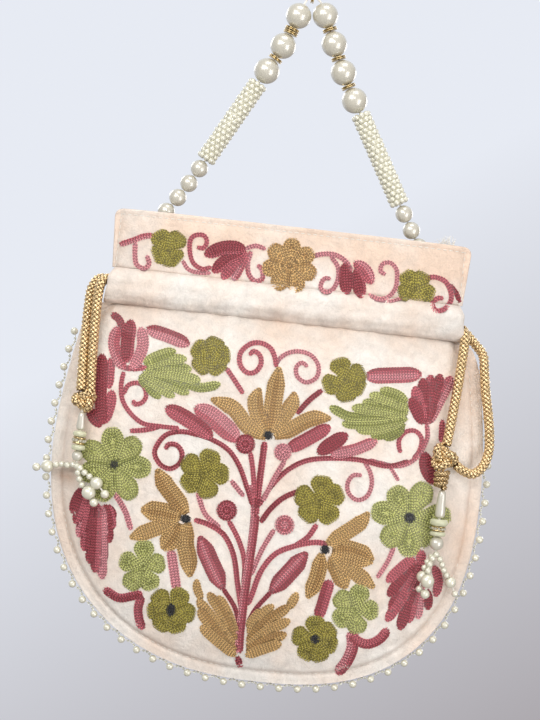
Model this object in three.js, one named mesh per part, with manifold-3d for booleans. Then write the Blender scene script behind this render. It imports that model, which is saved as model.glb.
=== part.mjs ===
// Embroidered velvet drawstring reticule with a pearl handle, as it hangs from the top of its handle.
// Millimetres, +Z up, +X to the right seen from the front, and the front faces -Y.
// Everything is laid out from the middle of the bag's top edge. The last group moves it so that the
// ring at the top of the handle, where the reticule hangs, is at the origin.
import * as THREE from 'three';
import { mergeVertices } from 'three/addons/utils/BufferGeometryUtils.js';
import Module from 'manifold-3d';

const wasm = await Module();
wasm.setup();

// Driving dimensions
const gap = 0.3; // between neighbouring solids

const clothWall = 1.8; // velvet with its backing
const headingHalfWidth = 89.8; // at the top edge
const headingFlange = 3.3; // seam allowance beside the heading
const headingHeight = 29.4; // top edge to casing
const casingHeight = 18.2; // height of the casing's recess
const sideHeight = 71.4; // casing to the round bottom
const bottomHeight = 108; // the round bottom
const bottomSquareness = 2.45; // 2 is an ellipse
const bottomShift = 7; // the bottom hangs this far to the right of the top
const bodyHalfWidth = 107.6;
const bodyFlange = 5.2; // seam allowance round the body
const mouthGap = 14; // inside, front to back
const neckGap = 9; // inside, at the casing
const bodyDepth = 36; // outside, front to back

const casingWall = 1.5;
const casingStep = 0.8; // height of the step down into the casing's recess
const casingEndMargin = 1.1; // from a turning cord to the end of the casing

const cordDiameter = 4.8;
const cordSpacing = 5.4; // between the two cords in the casing
const cordExitOffset = 5.4; // cord centre to middle plane at the casing's ends
const casingSlack = 0.9; // between a cord and the casing over it

const edgingDiameter = 4; // small pearls on the flange

const threadDiameter = 1;
const pearlDiameter = 12.8;
const beadDiameter = 8.7;
const ringDiameter = 7.4;
const ringThickness = 1.6;
const sleeveDiameter = 10.2;
const leftSleeveLength = 48;
const rightSleeveLength = 50.5;
const bore = 2.4; // through beads, rings and sleeves

const knotDiameter = 10.4;
const knotHeight = 10;
const rightKnotDiameter = 12.6;
const rightKnotHeight = 12;
const rightCollarDiameter = 7.6; // the wrapped tail below the right knot
const rightCollarHeight = 9.5;
const knotDepthShare = 0.84; // a knot is flatter front to back
const leftKnotInset = 14.5; // knot centre to the body's widest level
const rightKnotInset = 22;
const leftKnotDepth = 12.5; // knot centre to middle plane
const rightKnotDepth = 16;
const tasselBore = 1.6;
const tasselThread = 0.9;

const round = 8; // sides of cords
const beadSides = 12;
const trimSides = 10;

// Levels and half depths worked out from them
const casingTop = -headingHeight;
const casingBottom = casingTop - casingHeight;
const casingMiddle = casingTop - casingHeight / 2;
const roundTop = casingBottom - sideHeight;
const flangeHalf = gap / 2 + clothWall;
const mouthHalf = mouthGap / 2 + clothWall;
const neckHalf = neckGap / 2 + clothWall;
const bodyHalf = bodyDepth / 2;
const headingSeam = headingHalfWidth - headingFlange;
const cordRadius = cordDiameter / 2;
const recessHalf = mouthHalf - casingWall - gap;

// In the casing the panels stop short, so that a cord can turn round their edge
const notchHalfWidth = headingSeam - casingEndMargin - cordDiameter - neckHalf;
const notchRim = 1;

// Rows of the panels, from the top edge down. Width and drop are shares of the sizes they follow,
// swell goes from the mouth's depth at 0 to the body's at 1, and square is how boxy the section is.
const headingRows = [
  { drop: 0, width: 1 },
  { drop: 0.5, width: 0.993 },
  { drop: 1, width: 0.98 },
];
const casingRows = [
  { drop: casingStep / casingHeight, half: recessHalf },
  { drop: 0.25, half: neckHalf },
  { drop: 0.75, half: neckHalf },
  { drop: 1 - casingStep / casingHeight, half: recessHalf },
];
const bodyRows = [
  { drop: 0, width: 0.846, swell: 0, square: 4 },
  { drop: 0.05, width: 0.89, swell: 0.065, square: 3.8 },
  { drop: 0.12, width: 0.913, swell: 0.15, square: 3.6 },
  { drop: 0.2, width: 0.932, swell: 0.26, square: 3.4 },
  { drop: 0.36, width: 0.953, swell: 0.46, square: 3.1 },
  { drop: 0.56, width: 0.974, swell: 0.69, square: 2.8 },
  { drop: 0.78, width: 0.992, swell: 0.89, square: 2.55 },
  { drop: 1, width: 1, swell: 1, square: 2.4 },
];
const edgingStartRow = 3; // the pearl edging starts at this row of the body
const boxySquare = 4;
const bodySquare = 2.4;
const fullness = 0.6;
const roundRays = 14;
const columnShares = [0, 0.3, 0.55, 0.73, 0.86, 0.95, 1];

function sectionHalf(row, x) {
  const share = Math.min(1, Math.abs(x) / row.seam);
  return flangeHalf + (row.half - flangeHalf) * (1 - share ** row.square) ** fullness;
}

const rows = [
  ...headingRows.map(({ drop, width }) => ({
    z: -headingHeight * drop,
    edge: headingHalfWidth * width,
    seam: headingSeam,
    half: mouthHalf,
    square: boxySquare,
  })),
  ...casingRows.map(({ drop, half }) => ({
    z: casingTop - casingHeight * drop,
    edge: notchHalfWidth,
    stop: notchHalfWidth - notchRim,
    seam: headingSeam,
    half,
    square: boxySquare,
  })),
  ...bodyRows.map(({ drop, width, swell, square }) => ({
    z: casingBottom - sideHeight * drop,
    edge: bodyHalfWidth * width,
    seam: bodyHalfWidth * width - bodyFlange,
    half: mouthHalf + (bodyHalf - mouthHalf) * swell,
    square,
  })),
];
const neckRow = rows[headingRows.length + 1];
const recessRow = rows[headingRows.length];

function levelRay(row, side) {
  const reach = row.stop ?? row.seam;
  const points = columnShares.map((share) => ({
    x: side * share * reach,
    z: row.z,
    half: sectionHalf(row, share * reach),
  }));
  points.push({ x: side * row.edge, z: row.z, half: sectionHalf(row, row.edge) });
  return points;
}

function bottomEdge(angle) {
  const down = Math.sin(angle) ** (2 / bottomSquareness);
  const across = Math.abs(Math.cos(angle)) ** (2 / bottomSquareness);
  return {
    x: -Math.sign(Math.cos(angle)) * bodyHalfWidth * across + bottomShift * down ** 1.6,
    z: roundTop - bottomHeight * down,
  };
}

function roundRay(angle) {
  const edge = bottomEdge(angle);
  const drop = edge.z - roundTop;
  const seamShare = 1 - bodyFlange / Math.hypot(edge.x, drop);
  const points = columnShares.map((share) => ({
    x: edge.x * share * seamShare,
    z: roundTop + drop * share * seamShare,
    half: flangeHalf + (bodyHalf - flangeHalf) * (1 - share ** bodySquare) ** fullness,
  }));
  points.push({ x: edge.x, z: edge.z, half: flangeHalf });
  return points;
}

// Rays run from the panel's middle line to its edge: down the left side, round the bottom, up the right
const leftRays = rows.map((row) => levelRay(row, -1));
const rightRays = rows.map((row) => levelRay(row, 1)).reverse();
const bottomRays = Array.from({ length: roundRays }, (_, i) =>
  roundRay((Math.PI * (i + 1)) / (roundRays + 1)));
const rays = [...leftRays, ...bottomRays, ...rightRays];

// Shared helpers
function closedGeometry(positions, faces) {
  const geometry = new THREE.BufferGeometry();
  geometry.setAttribute('position', new THREE.Float32BufferAttribute(positions, 3));
  geometry.setIndex(faces);
  return geometry;
}

function quad(faces, a, b, c, d) {
  faces.push(a, b, c);
  if (a !== d) faces.push(a, c, d);
}

function polygonShape(radius, sides) {
  const corners = Array.from({ length: sides }, (_, i) => {
    const angle = (2 * Math.PI * i) / sides;
    return new THREE.Vector2(radius * Math.cos(angle), radius * Math.sin(angle));
  });
  return new THREE.Shape(corners);
}

function tube(points, diameter, steps, sides = round) {
  const path = new THREE.CatmullRomCurve3(points, false, 'centripetal');
  return new THREE.ExtrudeGeometry(polygonShape(diameter / 2, sides), {
    steps,
    bevelEnabled: false,
    extrudePath: path,
  });
}

// A turned piece along +Z from a profile of [radius, height] pairs, listed upwards
function turned(profile, sides) {
  const points = profile.map(([radius, height]) => new THREE.Vector2(radius, height));
  return new THREE.LatheGeometry(points, sides).rotateX(Math.PI / 2);
}

function drilled(profile, boreRadius, sides) {
  const bottom = profile[0][1];
  const top = profile[profile.length - 1][1];
  return turned([[boreRadius, bottom], ...profile, [boreRadius, top], [boreRadius, bottom]], sides);
}

function drilledBead(diameter, boreDiameter, sides, bands) {
  const radius = diameter / 2;
  const start = -Math.acos(boreDiameter / diameter);
  const profile = [];
  for (let i = 0; i <= bands; i += 1) {
    const angle = start * (1 - (2 * i) / bands);
    profile.push([radius * Math.cos(angle), radius * Math.sin(angle)]);
  }
  return turned([...profile, profile[0]], sides);
}

function toSolid(geometry) {
  const bare = geometry.clone();
  bare.deleteAttribute('normal');
  bare.deleteAttribute('uv');
  const merged = mergeVertices(bare, 1e-4);
  return new wasm.Manifold(new wasm.Mesh({
    numProp: 3,
    vertProperties: new Float32Array(merged.attributes.position.array),
    triVerts: new Uint32Array(merged.index.array),
  }));
}

function fused(geometries) {
  const solid = geometries.map(toSolid).reduce((all, one) => all.add(one));
  const mesh = solid.getMesh();
  return closedGeometry(Array.from(mesh.vertProperties), Array.from(mesh.triVerts));
}

// Finishes
const finish = (color, roughness, metalness) =>
  new THREE.MeshStandardMaterial({ color, roughness, metalness });
const velvet = finish('#efe2d6', 0.95, 0);
const casingVelvet = finish('#e6d9cf', 0.95, 0);
const goldCord = finish('#c9a562', 0.6, 0.2);
const pearl = finish('#ece7d2', 0.25, 0);
const seedPearl = finish('#e8e3c4', 0.35, 0);
const gold = finish('#b08a45', 0.3, 1);
const stones = finish('#d8c9a0', 0.15, 0.5);
const nylon = finish('#e6e2da', 0.4, 0);

const bag = new THREE.Group();
function piece(name, geometry, material) {
  const mesh = new THREE.Mesh(geometry, material);
  mesh.name = name;
  bag.add(mesh);
  return mesh;
}

// Cloth panels
function panelGeometry(facing) {
  const positions = [];
  const faces = [];
  const middle = new Map();
  const vertex = (x, half, z) => positions.push(x, facing * half, z) / 3 - 1;
  const sheets = rays.map((ray) => ray.map(({ x, z, half }, k) => {
    if (k === 0 && middle.has(z)) return middle.get(z);
    const pair = { outer: vertex(x, half, z), inner: vertex(x, half - clothWall, z) };
    if (k === 0) middle.set(z, pair);
    return pair;
  }));
  const last = columnShares.length;
  for (let j = 0; j < sheets.length - 1; j += 1) {
    const [a, b] = [sheets[j], sheets[j + 1]];
    for (let k = 0; k < last; k += 1) {
      quad(faces, a[k].outer, a[k + 1].outer, b[k + 1].outer, b[k].outer);
      quad(faces, b[k + 1].inner, a[k + 1].inner, a[k].inner, b[k].inner);
      if (a[k] === b[k]) faces.splice(-3);
    }
    quad(faces, b[last].outer, a[last].outer, a[last].inner, b[last].inner);
  }
  const [first, final] = [sheets[0], sheets[sheets.length - 1]];
  for (let k = 0; k < last; k += 1) {
    quad(faces, first[k + 1].outer, first[k].outer, first[k].inner, first[k + 1].inner);
    quad(faces, final[k].outer, final[k + 1].outer, final[k + 1].inner, final[k].inner);
  }
  if (facing > 0) faces.reverse();
  return closedGeometry(positions, faces);
}

// Casing bands: a roll of cloth over the cords, seated in the panels' recess and open at both ends
const bandHalfHeight = casingHeight / 2 - casingStep - gap;
const bandEdgeInset = 0.9; // the inner face starts this far inside the outer one
const bandRows = [-1, -0.86, -0.6, 0, 0.6, 0.86, 1];
const bandColumnShares = [0, 0.3, 0.6, 0.8];
const exitCrown = cordExitOffset + cordRadius + casingSlack;

function bandCrown(x) {
  const inside = Math.min(x, notchHalfWidth);
  const crown = sectionHalf(neckRow, inside) + gap + cordDiameter + casingSlack;
  const share = Math.max(0, (x - notchHalfWidth) / (headingSeam - notchHalfWidth));
  return exitCrown + (crown - exitCrown) * Math.sqrt(1 - Math.min(1, share) ** 2);
}

function bandGeometry(facing) {
  const positions = [];
  const faces = [];
  const ends = [notchHalfWidth, (notchHalfWidth + headingSeam) / 2, headingSeam];
  const halves = [...bandColumnShares.map((share) => share * notchHalfWidth), ...ends];
  const columns = [...halves.slice(1).reverse().map((x) => -x), ...halves];
  const vertex = (x, y, z) => positions.push(x, facing * y, z) / 3 - 1;
  const grid = columns.map((x) => bandRows.map((across) => {
    const foot = sectionHalf(recessRow, x) + gap;
    const rise = (bandCrown(Math.abs(x)) - foot) * (1 - Math.abs(across) ** 3) ** fullness;
    const outerZ = casingMiddle - across * bandHalfHeight;
    const innerZ = casingMiddle - across * (bandHalfHeight - bandEdgeInset);
    return {
      outer: vertex(x, foot + rise + casingWall, outerZ),
      inner: vertex(x, foot + rise, innerZ),
    };
  }));
  const lastRow = bandRows.length - 1;
  for (let i = 0; i < grid.length - 1; i += 1) {
    const [a, b] = [grid[i], grid[i + 1]];
    for (let k = 0; k < lastRow; k += 1) {
      quad(faces, a[k].outer, a[k + 1].outer, b[k + 1].outer, b[k].outer);
      quad(faces, a[k].inner, b[k].inner, b[k + 1].inner, a[k + 1].inner);
    }
    quad(faces, b[0].outer, b[0].inner, a[0].inner, a[0].outer);
    quad(faces, a[lastRow].outer, a[lastRow].inner, b[lastRow].inner, b[lastRow].outer);
  }
  const [first, final] = [grid[0], grid[grid.length - 1]];
  for (let k = 0; k < lastRow; k += 1) {
    quad(faces, first[k + 1].outer, first[k].outer, first[k].inner, first[k + 1].inner);
    quad(faces, final[k].outer, final[k + 1].outer, final[k + 1].inner, final[k].inner);
  }
  if (facing > 0) faces.reverse();
  return closedGeometry(positions, faces);
}

piece('front_panel', panelGeometry(-1), velvet);
piece('back_panel', panelGeometry(1), velvet);
piece('casing_front', bandGeometry(-1), casingVelvet);
piece('casing_back', bandGeometry(1), casingVelvet);

// Drawcords inside the casing: out at one side, round the neck, and back out at the same side
const turnRadius = sectionHalf(neckRow, notchHalfWidth) + gap + cordRadius;
const turnCentre = headingSeam - casingEndMargin - cordRadius - turnRadius;
const exitX = headingSeam;

function runPoints(exitSide, z) {
  const along = [-0.92, -0.75, -0.5, -0.2, 0.2, 0.5, 0.75].map((share) => share * turnCentre);
  const front = along.map((x) => [x, -(sectionHalf(neckRow, x) + gap + cordRadius)]);
  const turn = [-75, -45, -15, 15, 45, 75].map((degrees) => {
    const angle = THREE.MathUtils.degToRad(degrees);
    return [turnCentre + turnRadius * Math.cos(angle), turnRadius * Math.sin(angle)];
  });
  const back = front.map(([x, y]) => [x, -y]).reverse();
  const start = [[-exitX, -cordExitOffset], [cordDiameter - exitX, -cordExitOffset - 0.1]];
  const end = start.map(([x, y]) => [x, -y]).reverse();
  return [...start, ...front, ...turn, ...back, ...end]
    .map(([x, y]) => new THREE.Vector3(-exitSide * x, y, z));
}

const upperCordZ = casingMiddle + cordSpacing / 2;
const lowerCordZ = casingMiddle - cordSpacing / 2;
piece('drawcord_run_left', tube(runPoints(-1, upperCordZ), cordDiameter, 32, 6), goldCord);
piece('drawcord_run_right', tube(runPoints(1, lowerCordZ), cordDiameter, 32, 6), goldCord);

// Free drawcords, from the casing's ends to the knots: points chosen by eye
const freeCords = [
  {
    name: 'drawcord_left_front',
    steps: 11,
    points: [
      [-86.9, -5.4, -35.8], [-89.6, -5.6, -35.8], [-91.9, -7.6, -38.4], [-92.6, -8.9, -43.5],
      [-92.6, -9.6, -51], [-92.4, -10, -60], [-92, -10.6, -71], [-91.3, -11.8, -82], [-90.6, -12.5, -92],
    ],
  },
  {
    name: 'drawcord_left_back',
    steps: 12,
    points: [
      [-86.9, 5.4, -35.8], [-90.6, 5, -35.5], [-94.3, 1, -36.2], [-96.7, -3.2, -41.2],
      [-97.1, -5.6, -50], [-97, -6.8, -60], [-96.7, -8.2, -71], [-96.1, -10.8, -82], [-95.6, -12.4, -91.9],
    ],
  },
  {
    name: 'drawcord_right_front',
    steps: 11,
    points: [
      [86.9, -5.4, -41.2], [88.9, -5.5, -41.3], [90.3, -7.2, -45.2], [90.2, -8.6, -53],
      [89.8, -9.5, -61], [89.2, -10.6, -71], [88.3, -12, -81], [87.4, -13.8, -90], [86.5, -15, -98.6],
    ],
  },
  {
    name: 'drawcord_right_back',
    steps: 18,
    points: [
      [86.9, 5.4, -41.2], [90.2, 5.3, -41.5], [95.6, 3.4, -46.4], [100.9, -0.8, -52.6],
      [102, -5.3, -60.6], [103.6, -6.4, -70.5], [106.2, -6.5, -82], [108, -6.6, -92],
      [108.4, -7, -100], [106.2, -9.4, -107.2], [101.2, -12.4, -111.6], [96, -14.6, -110.4],
      [92.2, -15.3, -108],
    ],
  },
];
const chosenHalfWidth = 107.6; // of the body that these points were chosen for
for (const { name, steps, points } of freeCords) {
  const path = points.map(([x, y, z], i) => {
    const spread = (bodyHalfWidth - chosenHalfWidth) * (i / (points.length - 1));
    return new THREE.Vector3(x + Math.sign(x) * spread, y, z);
  });
  piece(name, tube(path, cordDiameter, steps), goldCord);
}

// Knots and the tassels that hang from them
const knots = {
  left: { x: leftKnotInset - bodyHalfWidth, y: -leftKnotDepth, top: -92.5 },
  right: { x: bodyHalfWidth - rightKnotInset, y: -rightKnotDepth, top: -99 },
};

function barrelProfile(diameter, height) {
  const radius = diameter / 2;
  return [
    [0, -height / 2], [radius * 0.72, -height / 2], [radius, -height * 0.2],
    [radius, height * 0.25], [radius * 0.96, height / 2], [0, height / 2],
  ];
}

function collaredProfile(diameter, height, collarDiameter, collarHeight) {
  const [foot, ...above] = barrelProfile(diameter, height);
  const collar = collarDiameter / 2;
  const bottom = foot[1] - collarHeight;
  return [[0, bottom], [collar * 0.8, bottom], [collar, bottom + collarHeight * 0.3], [collar, foot[1]], ...above];
}

const leftKnot = turned(barrelProfile(knotDiameter, knotHeight), trimSides);
const rightKnot = turned(
  collaredProfile(rightKnotDiameter, rightKnotHeight, rightCollarDiameter, rightCollarHeight),
  trimSides,
);
for (const knot of [leftKnot, rightKnot]) knot.scale(1, knotDepthShare, 1);
piece('knot_left', leftKnot, goldCord)
  .position.set(knots.left.x, knots.left.y, knots.left.top - knotHeight / 2);
piece('knot_right', rightKnot, goldCord)
  .position.set(knots.right.x, knots.right.y, knots.right.top - rightKnotHeight / 2);

// Each tassel is strung from the top down. A strand's points are offsets from the end of its stem;
// its pearl sits at the point before the last one and its end bead at the last.
const tassels = [
  {
    side: 'left',
    x: knots.left.x - 0.5,
    y: knots.left.y,
    top: knots.left.top - knotHeight,
    drop: { length: 9, top: 3, bottom: 4.4 },
    discUpper: { length: 2.8, diameter: 6.8 },
    ring: { length: 3.4, diameter: 6.8 },
    discLower: { length: 2.8, diameter: 7 },
    pearl: 5.2,
    strandDiameter: 2.6,
    strands: [
      { pearl: 6.2, end: 4.2, points: [[-3.6, 1.4, -1.2], [-8.4, 4, -1.4], [-14.7, 6, -3.2], [-20.2, 6.3, -4.2]] },
      { pearl: 6.4, end: 4.4, points: [[3.6, -1.2, -3.2], [7.4, -2.4, -5.4], [11.2, -3.5, -8.2], [15.9, -4, -13]] },
      { pearl: 7.2, end: 4.4, points: [[1.6, -0.6, -5.2], [3.9, -1.4, -10], [7.8, -3, -13.2], [11, -3.5, -17.8]] },
    ],
  },
  {
    side: 'right',
    x: knots.right.x + 1.3,
    y: knots.right.y,
    top: knots.right.top - rightKnotHeight - rightCollarHeight,
    drop: { length: 14, top: 3.6, bottom: 5.6 },
    discUpper: { length: 3.4, diameter: 9 },
    ring: { length: 2.2, diameter: 7.4 },
    discLower: { length: 2.2, diameter: 7.8 },
    pearl: 7,
    strandDiameter: 2.6,
    strands: [
      { pearl: 7, end: 4.6, points: [[-1.9, -0.4, -4.4], [-2.8, -1, -9], [-2.6, -1.8, -14], [-3, -1.6, -20.4]] },
      { pearl: 6, end: 3.6, points: [[-2.6, 1, -3.4], [-4.3, 1.2, -7.2], [-4.9, 1.6, -12.3], [-5.8, 1.2, -18.6]] },
      { pearl: 5.8, end: 3.4, points: [[3, 1.2, -3.4], [5.6, 3.2, -8.6], [9.5, 5.6, -14], [12.4, 6.4, -19.6]] },
    ],
  },
];

function discProfile(diameter, length) {
  const radius = diameter / 2;
  const half = length / 2;
  return [[radius * 0.72, -half], [radius, -half * 0.4], [radius, half * 0.4], [radius * 0.72, half]];
}

function dropProfile({ length, top, bottom }) {
  const half = length / 2;
  return [
    [bottom * 0.34, -half], [bottom / 2, -half * 0.7], [bottom * 0.46, -half * 0.2],
    [top / 2, half * 0.8], [top * 0.38, half],
  ];
}

function addTassel(tassel) {
  const { side, x, y } = tassel;
  const sizes = [
    ['tassel_drop', tassel.drop.length, drilled(dropProfile(tassel.drop), tasselBore / 2, trimSides), pearl],
    ...[['tassel_disc_upper', tassel.discUpper, pearl], ['tassel_ring', tassel.ring, stones],
      ['tassel_disc_lower', tassel.discLower, pearl]].map(([name, { diameter, length }, material]) =>
      [name, length, drilled(discProfile(diameter, length), tasselBore / 2, trimSides), material]),
    ['tassel_pearl', tassel.pearl, drilledBead(tassel.pearl, tasselBore, trimSides, 5), pearl],
  ];
  let below = tassel.top;
  for (const [name, length, geometry, material] of sizes) {
    const hole = name === 'tassel_pearl' ? Math.sqrt(tassel.pearl ** 2 - tasselBore ** 2) : length;
    piece(`${name}_${side}`, geometry, material).position.set(x, y, below - gap - hole / 2);
    below -= gap + hole;
  }
  const stemEnd = new THREE.Vector3(x, y, below - gap - tassel.strandDiameter / 2);
  const strandPieces = tassel.strands.flatMap((strand) => {
    const points = [stemEnd, ...strand.points.map((offset) => stemEnd.clone().add(new THREE.Vector3(...offset)))];
    const pearlAt = points[points.length - 2];
    const endAt = points[points.length - 1];
    return [
      tube(points, tassel.strandDiameter, 4, 5),
      new THREE.SphereGeometry(strand.pearl / 2, trimSides, 4).translate(pearlAt.x, pearlAt.y, pearlAt.z),
      new THREE.SphereGeometry(strand.end / 2, trimSides, 4).translate(endAt.x, endAt.y, endAt.z),
    ];
  });
  const stem = tube([new THREE.Vector3(x, y, tassel.top - gap), stemEnd], tasselThread, 1, 5);
  const gather = new THREE.SphereGeometry(tassel.strandDiameter / 2, trimSides, 4)
    .translate(stemEnd.x, stemEnd.y, stemEnd.z);
  piece(`tassel_strands_${side}`, fused([gather, stem, ...strandPieces]), seedPearl);
}
tassels.forEach(addTassel);

// Pearl edging: a string of small pearls against the flange's edge, here its tube
const edgeLine = rays
  .slice(headingRows.length + casingRows.length + edgingStartRow)
  .slice(0, -(headingRows.length + casingRows.length + edgingStartRow))
  .map((ray) => ray[ray.length - 1]);

function offsetOutwards(line, distance) {
  return line.map(({ x, z }, i) => {
    const before = line[Math.max(0, i - 1)];
    const after = line[Math.min(line.length - 1, i + 1)];
    const along = new THREE.Vector2(after.x - before.x, after.z - before.z).normalize();
    return new THREE.Vector3(x + along.y * distance, 0, z - along.x * distance);
  });
}
const edgingPath = offsetOutwards(edgeLine, edgingDiameter / 2 + 2 * gap);
piece('pearl_edging', tube(edgingPath, edgingDiameter, 54), seedPearl);

// Handle: the thread's route from the mouth's left end over the top to its right end, chosen by eye
const hang = { x: -3.3, z: 116.5 };
const leftRoute = [
  [-63.9, 1.8], [-54.4, 16.6], [-47.6, 29.4], [-36.5, 50], [-25.6, 70.4], [-22.5, 76.5],
  [-15.5, 89.2], [-9.8, 105.3], [-7.6, 111.3], [-5.9, 114.8],
];
const rightRoute = [
  [-0.8, 114.9], [1.1, 113.1], [3.7, 107.2], [10, 93], [16, 79.2], [23.2, 66.3], [26.6, 60.3],
  [39.2, 38.6], [51.6, 17.1], [58.8, 4.8], [69.9, -14.4],
];
const leftTail = [[-66.9, 0, -3], [-68.4, 0.9, -5.8], [-69.2, 2.6, -7.6]];
const rightTail = [[71.2, 0.9, -16.9], [71.8, 2.6, -18.6]];
const tailEnd = ([x, , z]) => new THREE.Vector3(x, sectionHalf(rows[0], x) - clothWall - gap, z - 0.6);
const flat = ([x, z]) => new THREE.Vector3(x, 0, z);
const spatial = ([x, y, z]) => new THREE.Vector3(x, y, z);

const routePoints = [
  tailEnd(leftTail[leftTail.length - 1]),
  ...leftTail.map(spatial).reverse(),
  ...leftRoute.map(flat),
  new THREE.Vector3(hang.x, 0, hang.z),
  ...rightRoute.map(flat),
  ...rightTail.map(spatial),
  tailEnd(rightTail[rightTail.length - 1]),
];
const route = new THREE.CatmullRomCurve3(routePoints, false, 'centripetal');
route.arcLengthDivisions = 2000;
const routeLength = route.getLength();
const routeAt = (distance) => route.getPointAt(distance / routeLength);

function distanceTo(point) {
  let best = 0;
  for (let distance = 0; distance <= routeLength; distance += 0.1) {
    if (routeAt(distance).distanceTo(point) < routeAt(best).distanceTo(point)) best = distance;
  }
  return best;
}

piece('handle_thread', new THREE.ExtrudeGeometry(polygonShape(threadDiameter / 2, 4), {
  steps: 72,
  bevelEnabled: false,
  extrudePath: route,
}), nylon);

const ringRadius = ringDiameter / 2;
const ringProfile = [
  [ringRadius * 0.84, -ringThickness / 2], [ringRadius, 0], [ringRadius * 0.84, ringThickness / 2],
];

// Slides a drilled piece onto the thread so that it fills the stretch from one distance to another
function stringOn(name, geometry, material, from, to) {
  const [start, end] = [routeAt(Math.min(from, to)), routeAt(Math.max(from, to))];
  const mesh = piece(name, geometry, material);
  mesh.position.copy(start).add(end).multiplyScalar(0.5);
  mesh.quaternion.setFromUnitVectors(new THREE.Vector3(0, 0, 1), end.sub(start).normalize());
}

const hangDistance = distanceTo(new THREE.Vector3(hang.x, 0, hang.z));
let pearlCount = 0;
let ringCount = 0;
function addRing(from, to) {
  ringCount += 1;
  stringOn(`handle_ring_${ringCount}`, drilled(ringProfile, bore / 2, trimSides), gold, from, to);
}
function addPearl(from, to) {
  pearlCount += 1;
  stringOn(`handle_pearl_${pearlCount}`, drilledBead(pearlDiameter, bore, beadSides, 5), pearl, from, to);
}

// Stretch of thread that a drilled ball covers, from bore edge to bore edge
const covered = (diameter) => Math.sqrt(diameter ** 2 - bore ** 2);
const overhang = (diameter) => (diameter - covered(diameter)) / 2;

// What is strung on each leg below the top ring: the number of rings under each large pearl in turn,
// the bare thread above the first pearl, and where the small pearls stop
const legs = [
  {
    side: 'left',
    direction: -1,
    slack: 5.9,
    ringsUnder: [2, 1, 0],
    sleeve: leftSleeveLength,
    stop: new THREE.Vector3(...leftTail[0]),
  },
  {
    side: 'right',
    direction: 1,
    slack: 4.8,
    ringsUnder: [1, 1, 1, 0],
    sleeve: rightSleeveLength,
    stop: flat(rightRoute.at(-1)),
  },
];

addRing(hangDistance - ringThickness / 2, hangDistance + ringThickness / 2);
for (const { side, direction, slack, ringsUnder, sleeve, stop } of legs) {
  let used = ringThickness / 2 + slack;
  const span = (skip, length) => {
    const from = hangDistance + direction * (used + skip);
    used += skip * 2 + length;
    return [from, from + direction * length];
  };
  for (const rings of ringsUnder) {
    addPearl(...span(overhang(pearlDiameter), covered(pearlDiameter)));
    used += gap;
    for (let i = 0; i < rings; i += 1) {
      addRing(...span(0, ringThickness));
      used += gap;
    }
  }
  const sleeveProfile = [
    [sleeveDiameter * 0.42, -sleeve / 2], [sleeveDiameter / 2, -sleeve / 2 + 1],
    [sleeveDiameter / 2, sleeve / 2 - 1], [sleeveDiameter * 0.42, sleeve / 2],
  ];
  stringOn(`handle_sleeve_${side}`, drilled(sleeveProfile, bore / 2, beadSides), seedPearl, ...span(0, sleeve));
  const room = Math.abs(distanceTo(stop) - hangDistance) - used;
  const beads = Math.floor(room / (beadDiameter + gap));
  for (let i = 1; i <= beads; i += 1) {
    used += gap;
    const bead = drilledBead(beadDiameter, bore, trimSides, 5);
    stringOn(`handle_bead_${side}_${i}`, bead, pearl, ...span(overhang(beadDiameter), covered(beadDiameter)));
  }
}

bag.position.set(-hang.x, 0, -hang.z);
const reticule = new THREE.Group();
reticule.add(bag);
export default reticule;
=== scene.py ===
# Looks of the embroidered velvet drawstring reticule. Everything is laid out in millimetres from the
# middle of the bag's top edge, as the CAD is, and moved to the shared frame when a mesh is made.
import math

import bmesh
import bpy
import numpy as np
from mathutils import Matrix, Vector


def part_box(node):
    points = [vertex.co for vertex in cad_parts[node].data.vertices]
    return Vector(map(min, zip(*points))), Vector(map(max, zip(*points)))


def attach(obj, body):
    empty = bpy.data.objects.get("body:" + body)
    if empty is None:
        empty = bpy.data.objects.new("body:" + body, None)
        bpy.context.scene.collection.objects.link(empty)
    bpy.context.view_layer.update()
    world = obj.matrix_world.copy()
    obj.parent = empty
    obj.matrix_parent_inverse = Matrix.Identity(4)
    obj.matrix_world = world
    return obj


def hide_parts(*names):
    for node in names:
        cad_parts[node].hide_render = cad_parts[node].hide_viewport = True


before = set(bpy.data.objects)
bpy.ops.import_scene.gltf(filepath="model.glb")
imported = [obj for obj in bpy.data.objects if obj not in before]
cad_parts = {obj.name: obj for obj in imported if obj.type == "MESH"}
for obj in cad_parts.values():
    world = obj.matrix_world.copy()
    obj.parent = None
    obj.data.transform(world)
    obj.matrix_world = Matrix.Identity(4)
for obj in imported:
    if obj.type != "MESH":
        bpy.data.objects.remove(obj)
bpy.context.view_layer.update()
scene = bpy.context.scene

hangPoint = np.array([-3.3, 0.0, 116.5])  # the frame's origin, in the bag's millimetres


def toFrame(points):
    return (np.asarray(points, float) - hangPoint) / 1000


def toBag(point):
    return np.array(point, float) * 1000 + hangPoint


def centreOf(node):
    low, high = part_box(node)
    return toBag((low + high) / 2)


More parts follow.
